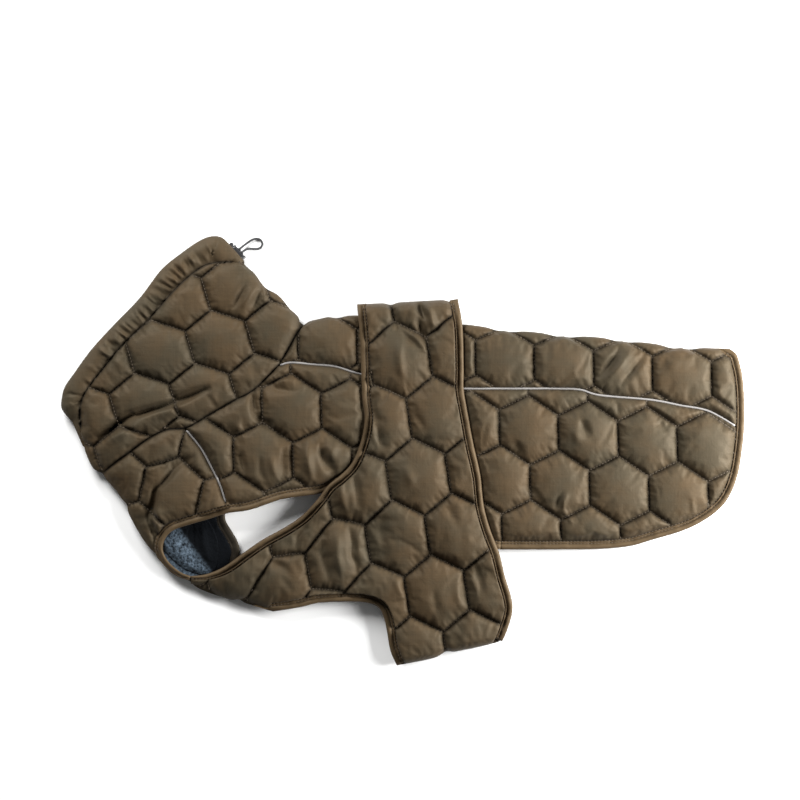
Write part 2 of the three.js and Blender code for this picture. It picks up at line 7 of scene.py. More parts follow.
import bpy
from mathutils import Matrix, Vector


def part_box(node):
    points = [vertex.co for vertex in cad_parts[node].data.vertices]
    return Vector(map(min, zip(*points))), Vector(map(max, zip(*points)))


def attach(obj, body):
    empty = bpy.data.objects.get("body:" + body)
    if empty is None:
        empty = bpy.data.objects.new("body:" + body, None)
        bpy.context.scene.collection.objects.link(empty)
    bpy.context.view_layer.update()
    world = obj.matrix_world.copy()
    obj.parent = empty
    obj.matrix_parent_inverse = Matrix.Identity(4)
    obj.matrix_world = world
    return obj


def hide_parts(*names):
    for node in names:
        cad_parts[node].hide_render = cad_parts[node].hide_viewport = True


bl_info = {
    "name": "Quilted Dog Coat",
    "version": (1, 0, 0),
    "blender": (4, 5, 0),
    "location": "View3D > Sidebar > Dog Coat",
    "description": "Builds the quilted cloth, trims and studio of a dog winter coat laid flat",
    "category": "Add Mesh",
}

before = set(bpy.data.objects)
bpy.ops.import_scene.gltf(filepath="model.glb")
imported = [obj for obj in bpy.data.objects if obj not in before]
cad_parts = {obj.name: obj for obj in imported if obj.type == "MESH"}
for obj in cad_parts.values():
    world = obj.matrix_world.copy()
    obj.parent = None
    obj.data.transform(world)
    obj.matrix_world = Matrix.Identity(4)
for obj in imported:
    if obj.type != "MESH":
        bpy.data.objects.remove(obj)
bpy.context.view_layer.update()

import copy
import functools
import math

import bpy
import numpy as np
from bpy.props import FloatProperty, FloatVectorProperty, PointerProperty
from mathutils import Vector, geometry, kdtree

MM = 0.001
BODY = "root"

# Heights of the layers over the surface
FOLD_MIDDLE = 7.6
FAR_LINING = 7.2
NEAR_LINING = 8.0
NEAR_STITCH = 11.0
NEAR_PRESSED = 11.9
BAND_UNDER = 12.3
BAND_WALL = 3.0
FAR_STITCH = 2.5
FAR_OVER_BAND = 3.9
FAR_BAND_TOP = 3.5

# Widths
BINDING = 8.0
CASING = 20.0
EDGE_UNDER_TAPE = 7.7
ROLL = 6.0
OUTER_ROLL = 14.0
MOUTH_RISE = 5.0
CELL_HALF = 27.0
THREADS_ACROSS, THREADS_ALONG = 650.0, 40.0  # streaks to the metre
CREASE_KEPT = 0.6  # the share of a crease that the padding's pressure has smoothed out
FACETS = 12  # facets from a quilted cell's middle to its corner

# Edges and seams of the coat, each row [x, y], counter-clockwise with the cloth on the left
RIM = [
    (-155, 185), (-163, 192.5), (-173, 193.5), (-184, 189), (-200, 178), (-218, 163), (-237, 138),
    (-261, 113), (-281, 91), (-297, 69), (-305, 57), (-307.7, 46), (-307.6, 38), (-302, 30), (-298, 26),
]
COLLAR_FRONT = [(-298, 26), (-288, 3), (-280, -15), (-272, -22)]
CHEST_FOLD = [
    (-272, -22), (-257, -38), (-245, -61), (-236, -77), (-228, -88), (-218, -100), (-205, -113),
    (-191, -120),
]
TONGUE_FOLD = [(-191, -120), (-180, -126), (-160, -133), (-137, -139), (-117, -145)]
FAR_ARMHOLE = [
    (-117, -145), (-135, -125), (-148, -105), (-146.5, -92), (-149, -82), (-154, -73), (-160, -62),
    (-158, -50), (-145, -42), (-120, -37), (-92, -34), (-56, -27),
]
NEAR_ARMHOLE = [
    (-191, -113), (-199, -110), (-207, -104), (-213, -97), (-216, -88), (-213, -78), (-205, -71),
    (-190, -66), (-173, -61), (-157, -56), (-137, -53), (-110, -44), (-92, -41), (-72, -38), (-56, -30),
]
COVERED_EDGE = [(-56, -30), (-29, -37), (-2, -52), (29, -71), (58, -85), (88, -89)]
HEM = [
    (88, -89), (142, -89), (178, -88.5), (205, -86), (226, -80), (250, -73), (268, -65), (285, -53),
    (295, -40), (302, -22), (306, 1), (308, 23), (308, 46), (306.5, 66), (304, 78), (301, 87), (295, 92),
]
SPINE = [
    (295, 92), (270, 93), (244, 94.5), (194, 101), (142, 105), (90, 110), (56, 114), (-2, 119),
    (-42, 122), (-79, 120), (-90, 115),
]
COLLAR_BACK = [(-90, 115), (-99, 128), (-109, 138), (-125, 151), (-138, 166), (-155, 185)]
COLLAR_SEAM = [
    (-272, -22), (-259, -11), (-243, 1), (-227, 12), (-212, 19), (-194, 21), (-175, 32), (-154, 44),
    (-137, 53), (-121, 67), (-109, 81), (-99, 99), (-90, 115),
]
CASING_SEAM = [
    (-155, 170), (-175, 168), (-191, 158), (-207, 143), (-227, 120), (-254, 93), (-270, 73), (-284, 55),
    (-290, 40), (-290, 22),
]
BACK_SEAM = [
    (-110, 77), (-101, 79.5), (-83, 78), (-61, 76), (-41, 70), (-2, 62), (34, 57), (60, 56), (88, 56),
    (115, 56), (142, 56), (160, 55), (178, 50), (223, 46), (250, 41), (272, 37), (287, 30), (303, 20),
]
SHOULDER_SEAM = [(-196, 20), (-182, 3), (-173, -13), (-164, -31), (-159, -46)]
BAND_TOP = [(50, 137), (16, 135), (-41, 132)]
BAND_FRONT = [
    (-41, 132), (-38, 100), (-37, 68), (-36, 46), (-34, 29), (-37, 10), (-45, -10), (-56, -22),
    (-67, -31), (-76, -43), (-90, -58), (-106, -69), (-126, -80), (-142, -91), (-160, -104),
    (-176, -111), (-191, -113),
]
BAND_LOWER = [
    (-117, -145), (-92, -141), (-74, -137), (-47, -136), (-32, -137), (-22, -141), (-17, -150),
    (-14, -163), (-11, -180), (-5, -193.8),
]
BAND_BOTTOM = [(-5, -193.8), (25, -188), (40, -183), (65, -178), (90, -172)]
BAND_REAR = [
    (90, -172), (95, -160), (99, -145), (98, -132), (92, -112), (87, -92), (79, -71), (73, -49),
    (70, -22), (64, 5), (59, 32), (55, 55), (55, 73), (54, 110), (50, 137),
]
BAND_CLOSING = [(-56, -22), (-52, -60), (-30, -110), (-22, -141)]
CORD_ROUTE = [
    (-147.4, 182.2, 4), (-145.2, 184.1, 3.6), (-142.5, 186.3, 2.4), (-139.3, 188.8, 1.4),
    (-135.8, 190.9, 1.1), (-132.2, 191.9, 1.1), (-128.8, 191, 1.1), (-127, 188, 1.1),
    (-127.6, 184.8, 1.1), (-130.2, 182.8, 1.1), (-133.8, 182.5, 1.1), (-137.6, 182.6, 1.4),
    (-141, 182, 2.5), (-143.4, 180.7, 3.6), (-145.1, 179.4, 4),
]

# The cord lock's turn about Z, and its round bodies, each row [along its axis, radius, share of the flutes]
LOCK_TURN = -0.86
LOCK_BARREL = [
    (-7.5, 2.7, 0), (-7.48, 3.3, 0), (-7.3, 3.75, 0), (-6.9, 3.98, 0), (-6.1, 3.98, 0), (-5.8, 3.8, 0),
    (-5.6, 3.7, 0.4), (-5.2, 3.75, 1), (-2.6, 3.85, 1), (0, 3.9, 1), (2.6, 3.85, 1), (5.2, 3.75, 1),
    (5.6, 3.7, 0.4), (5.8, 3.8, 0), (6.1, 3.98, 0), (6.9, 3.98, 0), (7.3, 3.75, 0), (7.46, 3.2, 0),
    (7.5, 2.2, 0),
]
LOCK_BUTTON = [
    (-11.5, 0.8, 0), (-11.42, 1.9, 0), (-11.2, 2.7, 0), (-10.8, 3.1, 0), (-10.4, 3.2, 0.6), (-9.6, 3.2, 1),
    (-8.7, 3.2, 0.6), (-8.45, 3.1, 0), (-8.35, 2.8, 0), (-8.3, 2.1, 0), (-7.0, 2.1, 0),
]
CORD_EYE = [
    (-2.0, 1.75, 0), (0.1, 1.75, 0), (0.35, 1.65, 0), (0.5, 1.4, 0), (0.45, 1.15, 0), (0.2, 1.0, 0),
]
# The fleece that shows in the armhole
LINING = [
    (-221, -84), (-207, -99), (-192, -109), (-172, -112), (-166, -90), (-170, -72), (-180, -59),
    (-196, -56), (-212, -66),
]
# The way across the chest's curled front, seen from above
CURL_AHEAD = (0.8, 0.6)
# Each row is [x, y] to [x, y], then width and height
LINING_CREASES = [
    (-191, -62, -186, -104, 3.0, -1.4), (-180, -66, -174, -100, 4.0, 1.2),
    (-184, -96, -170, -104, 3.0, -0.9), (-208, -76, -196, -98, 4.0, 0.8),
]


def linear(text):
    """An sRGB hex colour as linear red, green and blue."""
    parts = [int(text[i : i + 2], 16) / 255 for i in (1, 3, 5)]
    return tuple(c / 12.92 if c <= 0.04045 else ((c + 0.055) / 1.055) ** 2.4 for c in parts)


# Lines
def spaced(line, step):
    """The same line with its points equally far apart, about step mm."""
    lengths = np.linalg.norm(np.diff(line, axis=0), axis=1)
    along = np.concatenate([[0], np.cumsum(lengths)])
    wanted = np.linspace(0, along[-1], max(1, round(along[-1] / step)) + 1)
    return np.stack([np.interp(wanted, along, line[:, k]) for k in range(line.shape[1])], axis=1)


def curved(rows, step=2.3):
    """Points about step mm apart on a smooth curve through the rows."""
    points = np.array(rows, float)
    ends = [points[0], *points, points[-1]]
    t = np.linspace(0, 1, 20, endpoint=False)[:, None]
    stretches = []
    for before, start, end, after in zip(ends, ends[1:], ends[2:], ends[3:]):
        bend = 2 * before - 5 * start + 4 * end - after
        twist = 3 * start - before - 3 * end + after
        stretches.append(0.5 * (2 * start + (end - before) * t + bend * t**2 + twist * t**3))
    return spaced(np.concatenate([*stretches, points[-1:]]), step)


def left_of(line):
    """The direction to the left of a line at each of its points."""
    ahead = np.gradient(line[:, :2], axis=0)
    ahead /= np.linalg.norm(ahead, axis=1)[:, None]
    return np.stack([-ahead[:, 1], ahead[:, 0]], axis=1)


def moved(line, by):
    """A line moved to its left, by a number or by one number for each point."""
    return line + left_of(line) * np.broadcast_to(by, len(line))[:, None]


def longer(line, by):
    """A line with both ends drawn out straight."""
    start = line[0] - line[1]
    end = line[-1] - line[-2]
    start, end = start / np.linalg.norm(start) * by, end / np.linalg.norm(end) * by
    return np.concatenate([[line[0] + start], line, [line[-1] + end]])


def nearest(points, line):
    """For each point: its distance to a line, how far along the line that is, and the place there."""
    best = np.full(len(points), np.inf)
    along = np.zeros(len(points))
    place = np.zeros((len(points), 2))
    begun = 0.0
    for start, end in zip(line[:-1, :2], line[1:, :2]):
        step = end - start
        length = np.linalg.norm(step)
        if length < 1e-9:
            continue
        t = np.clip((points[:, :2] - start) @ step / length**2, 0, 1)
        foot = start + t[:, None] * step
        distance = np.linalg.norm(points[:, :2] - foot, axis=1)
        closer = distance < best
        best[closer] = distance[closer]
        along[closer] = begun + t[closer] * length
        place[closer] = foot[closer]
        begun += length
    return best, along, place


def nearest_of(points, lines):
    """The distance from each point to the nearest of several lines."""
    return np.min([np.full(len(points), np.inf), *(nearest(points, line)[0] for line in lines)], axis=0)


def inside(points, outline):
    """Which points lie in a closed outline."""
    x, y = points[:, 0], points[:, 1]
    found = np.zeros(len(points), bool)
    for (ax, ay), (bx, by) in zip(outline, np.roll(outline, -1, axis=0)):
        if ay != by:
            crosses = (ay > y) != (by > y)
            found ^= crosses & (x < ax + (y - ay) * (bx - ax) / (by - ay))
    return found


def smooth(value, low, high):
    """A soft step from 0 at low to 1 at high, or the other way round."""
    t = np.clip((value - low) / (high - low), 0, 1)
    return t * t * (3 - 2 * t)


def chance(*numbers):
    """A repeatable number from 0 to 1 for each set of whole numbers."""
    mixed = sum(np.asarray(n, float) * k for n, k in zip(numbers, (12.9898, 78.233, 37.719, 9.151)))
    return np.modf(np.abs(np.sin(mixed) * 43758.5453))[0]


rim, collar_front, chest_fold = curved(RIM), curved(COLLAR_FRONT), curved(CHEST_FOLD)
tongue_fold, far_armhole, near_armhole = curved(TONGUE_FOLD), curved(FAR_ARMHOLE), curved(NEAR_ARMHOLE)
covered_edge, hem, spine, collar_back = curved(COVERED_EDGE), curved(HEM), curved(SPINE), curved(COLLAR_BACK)
collar_seam, casing_seam, back_seam = curved(COLLAR_SEAM), curved(CASING_SEAM), curved(BACK_SEAM)
shoulder_seam, band_top, band_front = curved(SHOULDER_SEAM), curved(BAND_TOP), curved(BAND_FRONT)
band_lower, band_bottom, band_rear = curved(BAND_LOWER), curved(BAND_BOTTOM), curved(BAND_REAR)
band_closing = curved(BAND_CLOSING)
near_lower = np.concatenate([near_armhole, covered_edge[1:]])
far_lower = np.concatenate([far_armhole, covered_edge[1:]])


def chain(*lines):
    """Lines joined into one closed outline, without points that lie on each other."""
    points = np.concatenate(lines)
    apart = np.linalg.norm(points - np.roll(points, -1, axis=0), axis=1) > 0.4
    return points[apart]


def clear_of(line, others, distance):
    """The points of a line that are further than a distance from all the others."""
    keep = np.ones(len(line), bool)
    for other in others:
        keep &= nearest(line, other)[0] > distance
    return line[keep]


belly_outline = chain(band_top, band_front, tongue_fold, band_lower, band_bottom, band_rear)
coat_outline = chain(
    rim, collar_front, chest_fold, near_armhole, covered_edge[1:], hem, spine, collar_back
)
whole_outline = chain(rim, collar_front, chest_fold, tongue_fold, far_lower, hem, spine, collar_back)
far_band_outline = chain(
    band_top, band_front[band_front[:, 1] > -18], band_closing,
    band_lower[band_lower[:, 0] > -20], band_bottom, band_rear,
)


# Quilting
class Quilt:
    """Hexagonal cells: a middle, the step along a row, the step to the next row, and a bend."""

    def __init__(self, middle, along, following, bend=0.0):
        along, following = np.array(along), np.array(following)
        self.middle = np.array(middle)
        self.steps = np.array([along + following, 2 * following - along]) / 3
        self.bend = bend

    def bent(self, x):
        return -self.bend * np.minimum(x + 3, 0) ** 2

    def place(self, corners):
        """Points from coordinates that count in steps from a cell's middle to its corners."""
        points = self.middle + corners @ self.steps
        points[:, 1] += self.bent(points[:, 0])
        return points

    def count(self, points):
        flat = points[:, :2].copy()
        flat[:, 1] -= self.bent(flat[:, 0])
        return (flat - self.middle) @ np.linalg.inv(self.steps)

    def cells(self, points):
        """Each point's cell, as two whole numbers, and its place from that cell's middle."""
        corners = self.count(points)
        rows = np.stack([corners[:, 0] - corners[:, 1], corners[:, 0] + 2 * corners[:, 1]], axis=1) / 3
        best = np.full(len(points), np.inf)
        cell = np.zeros((len(points), 2))
        local = np.zeros((len(points), 2))
        for shift in ((0, 0), (0, 1), (1, 0), (1, 1)):
            trial = np.floor(rows) + shift
            centre = np.stack([2 * trial[:, 0] + trial[:, 1], trial[:, 1] - trial[:, 0]], axis=1)
            offset = corners - centre
            radius = hexagon_radius(offset)
            closer = radius < best
            best[closer] = radius[closer]
            cell[closer] = trial[closer]
            local[closer] = offset[closer]
        return cell, local, np.minimum(best, 1)

    def lattice(self, low, high):
        """The corners of all facets in a box, FACETS to a cell's corner."""
        box = np.array([low, (high[0], low[1]), high, (low[0], high[1])], float)
        counts = self.count(box) * FACETS
        spare = 40  # facets more, because bent rows bulge past the box's corners
        first, last = np.floor(counts.min(axis=0)) - spare, np.ceil(counts.max(axis=0)) + spare
        i, j = np.meshgrid(np.arange(first[0], last[0] + 1), np.arange(first[1], last[1] + 1))
        corners = np.stack([i.ravel(), j.ravel()], axis=1)
        points = self.place(corners / FACETS)
        kept = np.all((points > np.array(low)) & (points < np.array(high)), axis=1)
        return points[kept], corners[kept].astype(int)

    def seams(self, low, high):
        """Every stitched side of the cells in a box, from corner to corner, in counts of steps."""
        sides = []
        reach = 14
        corners = np.array([(1, 0), (0, 1), (-1, 1), (-1, 0)])
        for m in range(-reach, reach + 1):
            for n in range(-reach, reach + 1):
                centre = np.array([2 * m + n, n - m])
                for start, end in zip(corners, corners[1:]):
                    sides.append((centre + start, centre + end))
        starts = np.array([s for s, _ in sides], float)
        ends = np.array([e for _, e in sides], float)
        middle = self.place((starts + ends) / 2)
        kept = np.all((middle > np.array(low)) & (middle < np.array(high)), axis=1)
        return starts[kept], ends[kept]


def hexagon_radius(offset):
    return np.abs(np.stack([offset[:, 0], offset[:, 1], offset.sum(axis=1)])).max(axis=0)


def cushion(offset):
    """How far a cell rises, 0 on its stitches and 1 in its middle: steep sides and a slow crown."""
    sides = np.clip(np.abs(np.stack([offset[:, 0], offset[:, 1], offset.sum(axis=1)])), 0, 1)
    steep = (1 - np.exp(-(((1 - sides) / 0.062) ** 1.4))).prod(axis=0)
    crown = np.clip((1 - sides**2.2).prod(axis=0), 0, 1) ** 0.8
    return 0.6 * steep + 0.4 * crown


def tension_folds(cell, offset):
    """Soft folds across a cell, where its cloth is pulled between stitches; no two cells are alike."""
    # from corner counts to even coordinates, 1 at the middle of a cell's side
    x = (offset[:, 0] - offset[:, 1]) * 0.577
    y = offset[:, 0] + offset[:, 1]
    total = np.zeros(len(x))
    for k in range(5):
        turn = chance(cell[:, 0] + 11 * k, cell[:, 1], 5, k) * math.pi
        aside = (chance(cell[:, 0], cell[:, 1] + 7 * k, 2, k) - 0.5) * 1.3
        middle = (chance(cell[:, 0] + k, cell[:, 1] - k, 8, k) - 0.5) * 1.4
        strength = chance(cell[:, 0] - 5 * k, cell[:, 1], 3, k) ** 2
        width = 0.07 + 0.09 * chance(cell[:, 0], cell[:, 1] - 3 * k, 4, k)
        across = x * np.sin(turn) - y * np.cos(turn) - aside + 0.12 * np.sin(3 * (x + y) + 5 * strength)
        along = x * np.cos(turn) + y * np.sin(turn) - middle
        sign = 1 if k % 2 else -1
        total += sign * strength * np.exp(-((across / width) ** 2)) * np.exp(-((along / 0.55) ** 2))
    return total


def beside_seam(offset):
    """Each point's nearest side of its cell: which, which way, how far along it, and how far in."""
    values = np.stack([offset[:, 0], offset[:, 1], offset.sum(axis=1)], axis=1)
    side = np.abs(values).argmax(axis=1)
    way = np.sign(values[np.arange(len(values)), side])
    across = np.stack(
        [offset[:, 1] + offset[:, 0] / 2, offset[:, 0] + offset[:, 1] / 2, (offset[:, 0] - offset[:, 1]) / 2],
        axis=1,
    )
    along = across[np.arange(len(values)), side]
    return side, way, along, 1 - np.abs(values).max(axis=1)


def puckers(cell, offset):
    """Small gathers that run from a cell's stitches inwards, about -1 to 1."""
    side, way, along, depth = beside_seam(offset)
    waves = np.zeros(len(along))
    for k, count in enumerate((2.3, 3.7, 5.6)):
        phase = chance(cell[:, 0] + 3 * k, cell[:, 1], side, way) * 2 * math.pi
        strength = 0.3 + 0.7 * chance(cell[:, 0], cell[:, 1] + 5 * k, side + 1, way)
        waves += strength * np.sin(2 * math.pi * count * along + phase) / (1 + 0.4 * k)
    return waves * np.exp(-depth / 0.2) * (1 - np.exp(-depth / 0.025))


def needle_wave(cell, side, way, along):
    """The finest gathers, one for each stitch along a cell's side, about -1 to 1."""
    phase = chance(cell[:, 0] + 7, cell[:, 1], side, way) * 6
    wave = np.sin(41 * along + phase + 1.4 * np.sin(9 * along + phase))
    return wave * (0.6 + 0.4 * np.sin(17 * along + 3 * phase))


def needle_puckers(cell, offset):
    """The finest gathers, which die out a few millimetres from the seam."""
    side, way, along, depth = beside_seam(offset)
    return needle_wave(cell, side, way, along) * np.exp(-depth / 0.12) * (1 - np.exp(-depth / 0.015))


QUILTS = {
    "side": Quilt((113.9, 18.7), (53.4, -5), (27.9, -49.5)),
    "back": Quilt((92.3, 81.7), (53.1, -4.8), (27, -49)),
    "chest": Quilt((-208, -36), (52, -12), (16, -52)),
    "collar": Quilt((-164.3, 97.9), (54, 9), (14.4, 47.7)),
    "belly": Quilt((-2.3, 81.7), (53.6, 5.9), (35.1, -49.5), bend=0.0031),
}

# Regions that the seams divide the coat into, closed by corners well outside it
COLLAR_REGION = np.concatenate([collar_seam, [(-80, 135), (-60, 260), (-400, 260), (-400, -80), (-300, -60)]])
CASING_REGION = np.concatenate(
    [[(-120, 172)], casing_seam, [(-287, -10), (-400, -10), (-400, 260), (-120, 260)]]
)
BACK_REGION = np.concatenate([[(-150, 70)], back_seam, [(340, -4), (340, 220), (-150, 220)]])
CHEST_REGION = np.concatenate(
    [[(-206, 36)], shoulder_seam, [(-142, -58), (-100, -150), (-100, -180), (-340, -180), (-340, 36)]]
)


def panel_of(points):
    """The name of the coat's panel that each point lies in."""
    names = np.full(len(points), "side", dtype="U8")
    names[inside(points, CHEST_REGION)] = "chest"
    names[inside(points, BACK_REGION)] = "back"
    names[inside(points, COLLAR_REGION)] = "collar"
    names[inside(points, CASING_REGION)] = "casing"
    return names


# Layers of cloth
class Layer:
    """One flat layer: its points, triangles, and what each point is close to."""

    def __init__(self, outline, seams, folds, panels, name_of, coarse=None, step=1):
        points, edges = [], []
        for line, closed in [(outline, True)] + [(seam, False) for seam in seams]:
            first = len(points)
            points.extend(line)
            edges.extend((first + i, first + i + 1) for i in range(len(line) - 1))
            if closed:
                edges.append((first + len(line) - 1, first))
        fixed = np.array(points)
        rows = [
            moved(fold, ROLL * (1 - math.cos(math.radians(angle))))
            for fold in folds
            for angle in (22, 42, 60, 76)
        ]
        rows += [moved(seam, side) for seam in seams for side in (-1.2, 1.2)]
        extra = np.concatenate(rows) if rows else np.zeros((0, 2))
        extra = extra[inside(extra, outline)]
        extra = self._apart(extra, fixed, 0.33)
        extra = self._thinned(extra, 0.8)
        low, high = outline.min(axis=0), outline.max(axis=0)
        kept = [fixed, extra]
        for panel in panels:
            if panel == "casing":
                rows = [spaced(moved(rim, inset), 1.6) for inset in np.arange(6.4, 18.6, 1.9)]
                grid = np.concatenate(rows)
                chosen = inside(grid, outline)
            else:
                grid, counts = QUILTS[panel].lattice(low, high)
                chosen = inside(grid, outline)
                every = np.where(coarse(grid), 4, step) if coarse is not None else np.full(len(grid), step)
                chosen &= (counts[:, 0] % every == 0) & (counts[:, 1] % every == 0)
            chosen &= name_of(grid) == panel
            kept.append(self._apart(grid[chosen], np.concatenate([fixed, extra]), 1.4))
        # triangulated with its bent rows of cells straight, so that edges follow the stitches
        bent = QUILTS[panels[0]].bent
        straight = np.concatenate(kept)
        straight[:, 1] -= bent(straight[:, 0])
        made = geometry.delaunay_2d_cdt([Vector(p) for p in straight.tolist()], edges, [], 0, 0.01, False)
        self.xy = np.array([tuple(v) for v in made[0]])
        self.xy[:, 1] += bent(self.xy[:, 0])
        triangles = np.array([f for f in made[2] if len(f) == 3])
        middle = self.xy[triangles].mean(axis=1)
        a, b, c = (self.xy[triangles[:, k]] for k in range(3))
        area = (b[:, 0] - a[:, 0]) * (c[:, 1] - a[:, 1]) - (b[:, 1] - a[:, 1]) * (c[:, 0] - a[:, 0])
        kept_triangles = inside(middle, outline) & (np.abs(area) > 1e-4)
        triangles, middle, area = triangles[kept_triangles], middle[kept_triangles], area[kept_triangles]
        triangles[area < 0] = triangles[area < 0][:, ::-1]
        self.triangles = triangles
        self.names = name_of(middle)
        self.area = np.abs(area) / 2
        self.name = name_of(self.xy)
        self.fold = np.full(len(self.xy), np.inf)
        self.inward = np.zeros((len(self.xy), 2))
        for fold in folds:
            distance, along, _ = nearest(self.xy, fold)
            closer = distance < self.fold
            self.fold[closer] = distance[closer]
            length = np.linalg.norm(np.diff(fold, axis=0), axis=1).sum()
            place = np.rint(along / length * (len(fold) - 1)).astype(int)
            self.inward[closer] = left_of(fold)[place[closer]]

    def refined(self):
        """The same layer with each triangle cut into four."""
        fine = copy.copy(self)
        count = len(self.xy)
        t = self.triangles
        edges = np.sort(np.concatenate([t[:, [0, 1]], t[:, [1, 2]], t[:, [2, 0]]]), axis=1)
        keys = edges[:, 0].astype(np.int64) * count + edges[:, 1]
        _, first, same = np.unique(keys, return_index=True, return_inverse=True)
        same = same.reshape(-1)
        fine.pairs = edges[first]
        fine.opposite = np.concatenate([t[:, 2], t[:, 0], t[:, 1]])
        fine.same = same
        ab, bc, ca = (same[k * len(t) : (k + 1) * len(t)] + count for k in range(3))
        quarters = [(t[:, 0], ab, ca), (ab, t[:, 1], bc), (ca, bc, t[:, 2]), (ab, bc, ca)]
        fine.triangles = np.concatenate([np.stack(q, axis=1) for q in quarters])
        fine.names = np.tile(self.names, 4)
        fine.area = np.tile(self.area / 4, 4)
        fine.xy, fine.fold, fine.inward = (fine.spread(v) for v in (self.xy, self.fold, self.inward))
        near_first = self.fold[fine.pairs[:, 0]] < self.fold[fine.pairs[:, 1]]
        follows = np.where(near_first, fine.pairs[:, 0], fine.pairs[:, 1])
        fine.name = np.concatenate([self.name, self.name[follows]])
        return fine

    def spread(self, values):
        """Values of the coarse points, and between them."""
        return np.concatenate([values, (values[self.pairs[:, 0]] + values[self.pairs[:, 1]]) / 2])

    def rounded(self, xyz, fixed):
        """Coarse points carried over to the fine ones on a smooth surface, sharp at fixed points."""
        count = len(xyz)
        uses = np.bincount(self.same, minlength=len(self.pairs))
        beside = np.zeros((len(self.pairs), 3))
        np.add.at(beside, self.same, xyz[self.opposite])
        a, b = xyz[self.pairs[:, 0]], xyz[self.pairs[:, 1]]
        sharp = (uses != 2) | (fixed[self.pairs[:, 0]] & fixed[self.pairs[:, 1]])
        between = np.where(sharp[:, None], (a + b) / 2, 0.375 * (a + b) + 0.125 * beside)
        degree = np.bincount(self.pairs.ravel(), minlength=count)[:, None]
        around = np.zeros((count, 3))
        np.add.at(around, self.pairs[:, 0], b)
        np.add.at(around, self.pairs[:, 1], a)
        eased = 0.625 * xyz + 0.375 * around / np.maximum(degree, 1)
        return np.concatenate([np.where(fixed[:, None], xyz, eased), between])

    @staticmethod
    def _apart(points, others, distance):
        tree = kdtree.KDTree(len(others))
        for i, (x, y) in enumerate(others):
            tree.insert((x, y, 0), i)
        tree.balance()
        keep = [tree.find((x, y, 0))[2] > distance for x, y in points]
        return points[np.array(keep, bool)] if len(points) else points

    @staticmethod
    def _thinned(points, distance):
        """Leaves out points that are too close to an earlier one."""
        if not len(points):
            return points
        taken = {}
        keep = []
        for i, (x, y) in enumerate(points):
            square = (int(x // distance), int(y // distance))
            near = [
                taken.get((square[0] + dx, square[1] + dy)) for dx in (-1, 0, 1) for dy in (-1, 0, 1)
            ]
            if all(p is None or math.hypot(p[0] - x, p[1] - y) > distance for p in near):
                taken[square] = (x, y)
                keep.append(i)
        return points[keep]

    def rolled(self, height, middle):
        """Heights that come down, or up, to the middle of a fold in a round edge."""
        t = np.clip(self.fold / ROLL, 0, 1)
        return middle + (height - middle) * np.sqrt(np.clip(1 - (1 - t) ** 2, 0, 1))

COAT_PANELS = ["side", "back", "chest", "collar", "casing"]
NEAR_FOLDS = [rim, collar_front, chest_fold, spine, collar_back]
FAR_FOLDS = [rim, collar_front, chest_fold, tongue_fold, spine, collar_back]
COAT_SEAMS = [
    longer(collar_seam, 3), longer(casing_seam, 6), longer(back_seam, 4), longer(shoulder_seam, 5),
]


def tape_width(line):
    """How far cloth ends from the near armhole's edge, narrower in its tight corner."""
    share = np.linspace(0, 1, len(line))
    return 4.0 + (EDGE_UNDER_TAPE - 4.0) * np.clip(share * 9, 0, 1)


def under_tape(line, width=EDGE_UNDER_TAPE):
    return spaced(moved(line, width), 2.3)


def all_belly(points):
    return np.full(len(points), "belly")


def under_belly(points):
    return depth_in(points, belly_outline) > 12


def over_band(points):
    return depth_in(points, far_band_outline) > 8


@functools.cache
def near_coat():
    """The near layer of the coat, from rim to hem."""
    lower = under_tape(near_lower, tape_width(near_lower))
    bound_hem = under_tape(hem)
    top = clear_of(spine, [hem], EDGE_UNDER_TAPE)
    outline = chain(rim, collar_front, chest_fold, lower, bound_hem, top, collar_back)
    return Layer(outline, COAT_SEAMS, NEAR_FOLDS, COAT_PANELS, panel_of, under_belly)


@functools.cache
def near_coat_fine():
    return near_coat().refined()


@functools.cache
def far_coat():
    """The far layer of the coat, which lies on the surface."""
    lower = under_tape(far_lower)
    lower = lower[inside(lower, whole_outline)]
    bound_hem = under_tape(hem)
    top = clear_of(spine, [hem], EDGE_UNDER_TAPE)
    fold = clear_of(tongue_fold, [far_lower], EDGE_UNDER_TAPE)
    outline = chain(rim, collar_front, chest_fold, fold, lower, bound_hem, top, collar_back)
    return Layer(outline, COAT_SEAMS, FAR_FOLDS, COAT_PANELS, panel_of, over_band, step=2).refined()


@functools.cache
def belly_layer():
    """The belly panel: the tongue between the legs and the wing over the back."""
    front = under_tape(band_front, tape_width(band_front)[::-1])
    lower, rear = under_tape(band_lower), under_tape(band_rear)
    top = clear_of(band_top, [band_front, band_rear], EDGE_UNDER_TAPE)
    tongue = clear_of(tongue_fold, [band_front, band_lower], EDGE_UNDER_TAPE / 2)
    bottom = clear_of(band_bottom, [band_lower, band_rear], EDGE_UNDER_TAPE)
    outline = chain(top, front, tongue, lower, bottom, rear)
    folds = [band_top, tongue_fold, band_bottom]
    return Layer(outline, [], folds, ["belly"], all_belly)


@functools.cache
def belly_layer_fine():
    return belly_layer().refined()


@functools.cache
def far_band():
    """The far side of the belly panel's band."""
    outline = chain(
        band_top, under_tape(band_front[band_front[:, 1] > -18]), band_closing,
        under_tape(band_lower[band_lower[:, 0] > -20]), band_bottom, under_tape(band_rear),
    )
    folds = [band_top, band_bottom]
    return Layer(outline, [], folds, ["belly"], all_belly, step=2).refined()


def depth_in(points, outline):
    """Signed distance to a closed outline, positive inside it."""
    closed = np.concatenate([outline, outline[:1]])
    distance = nearest(points, closed)[0]
    return np.where(inside(points, outline), distance, -distance)


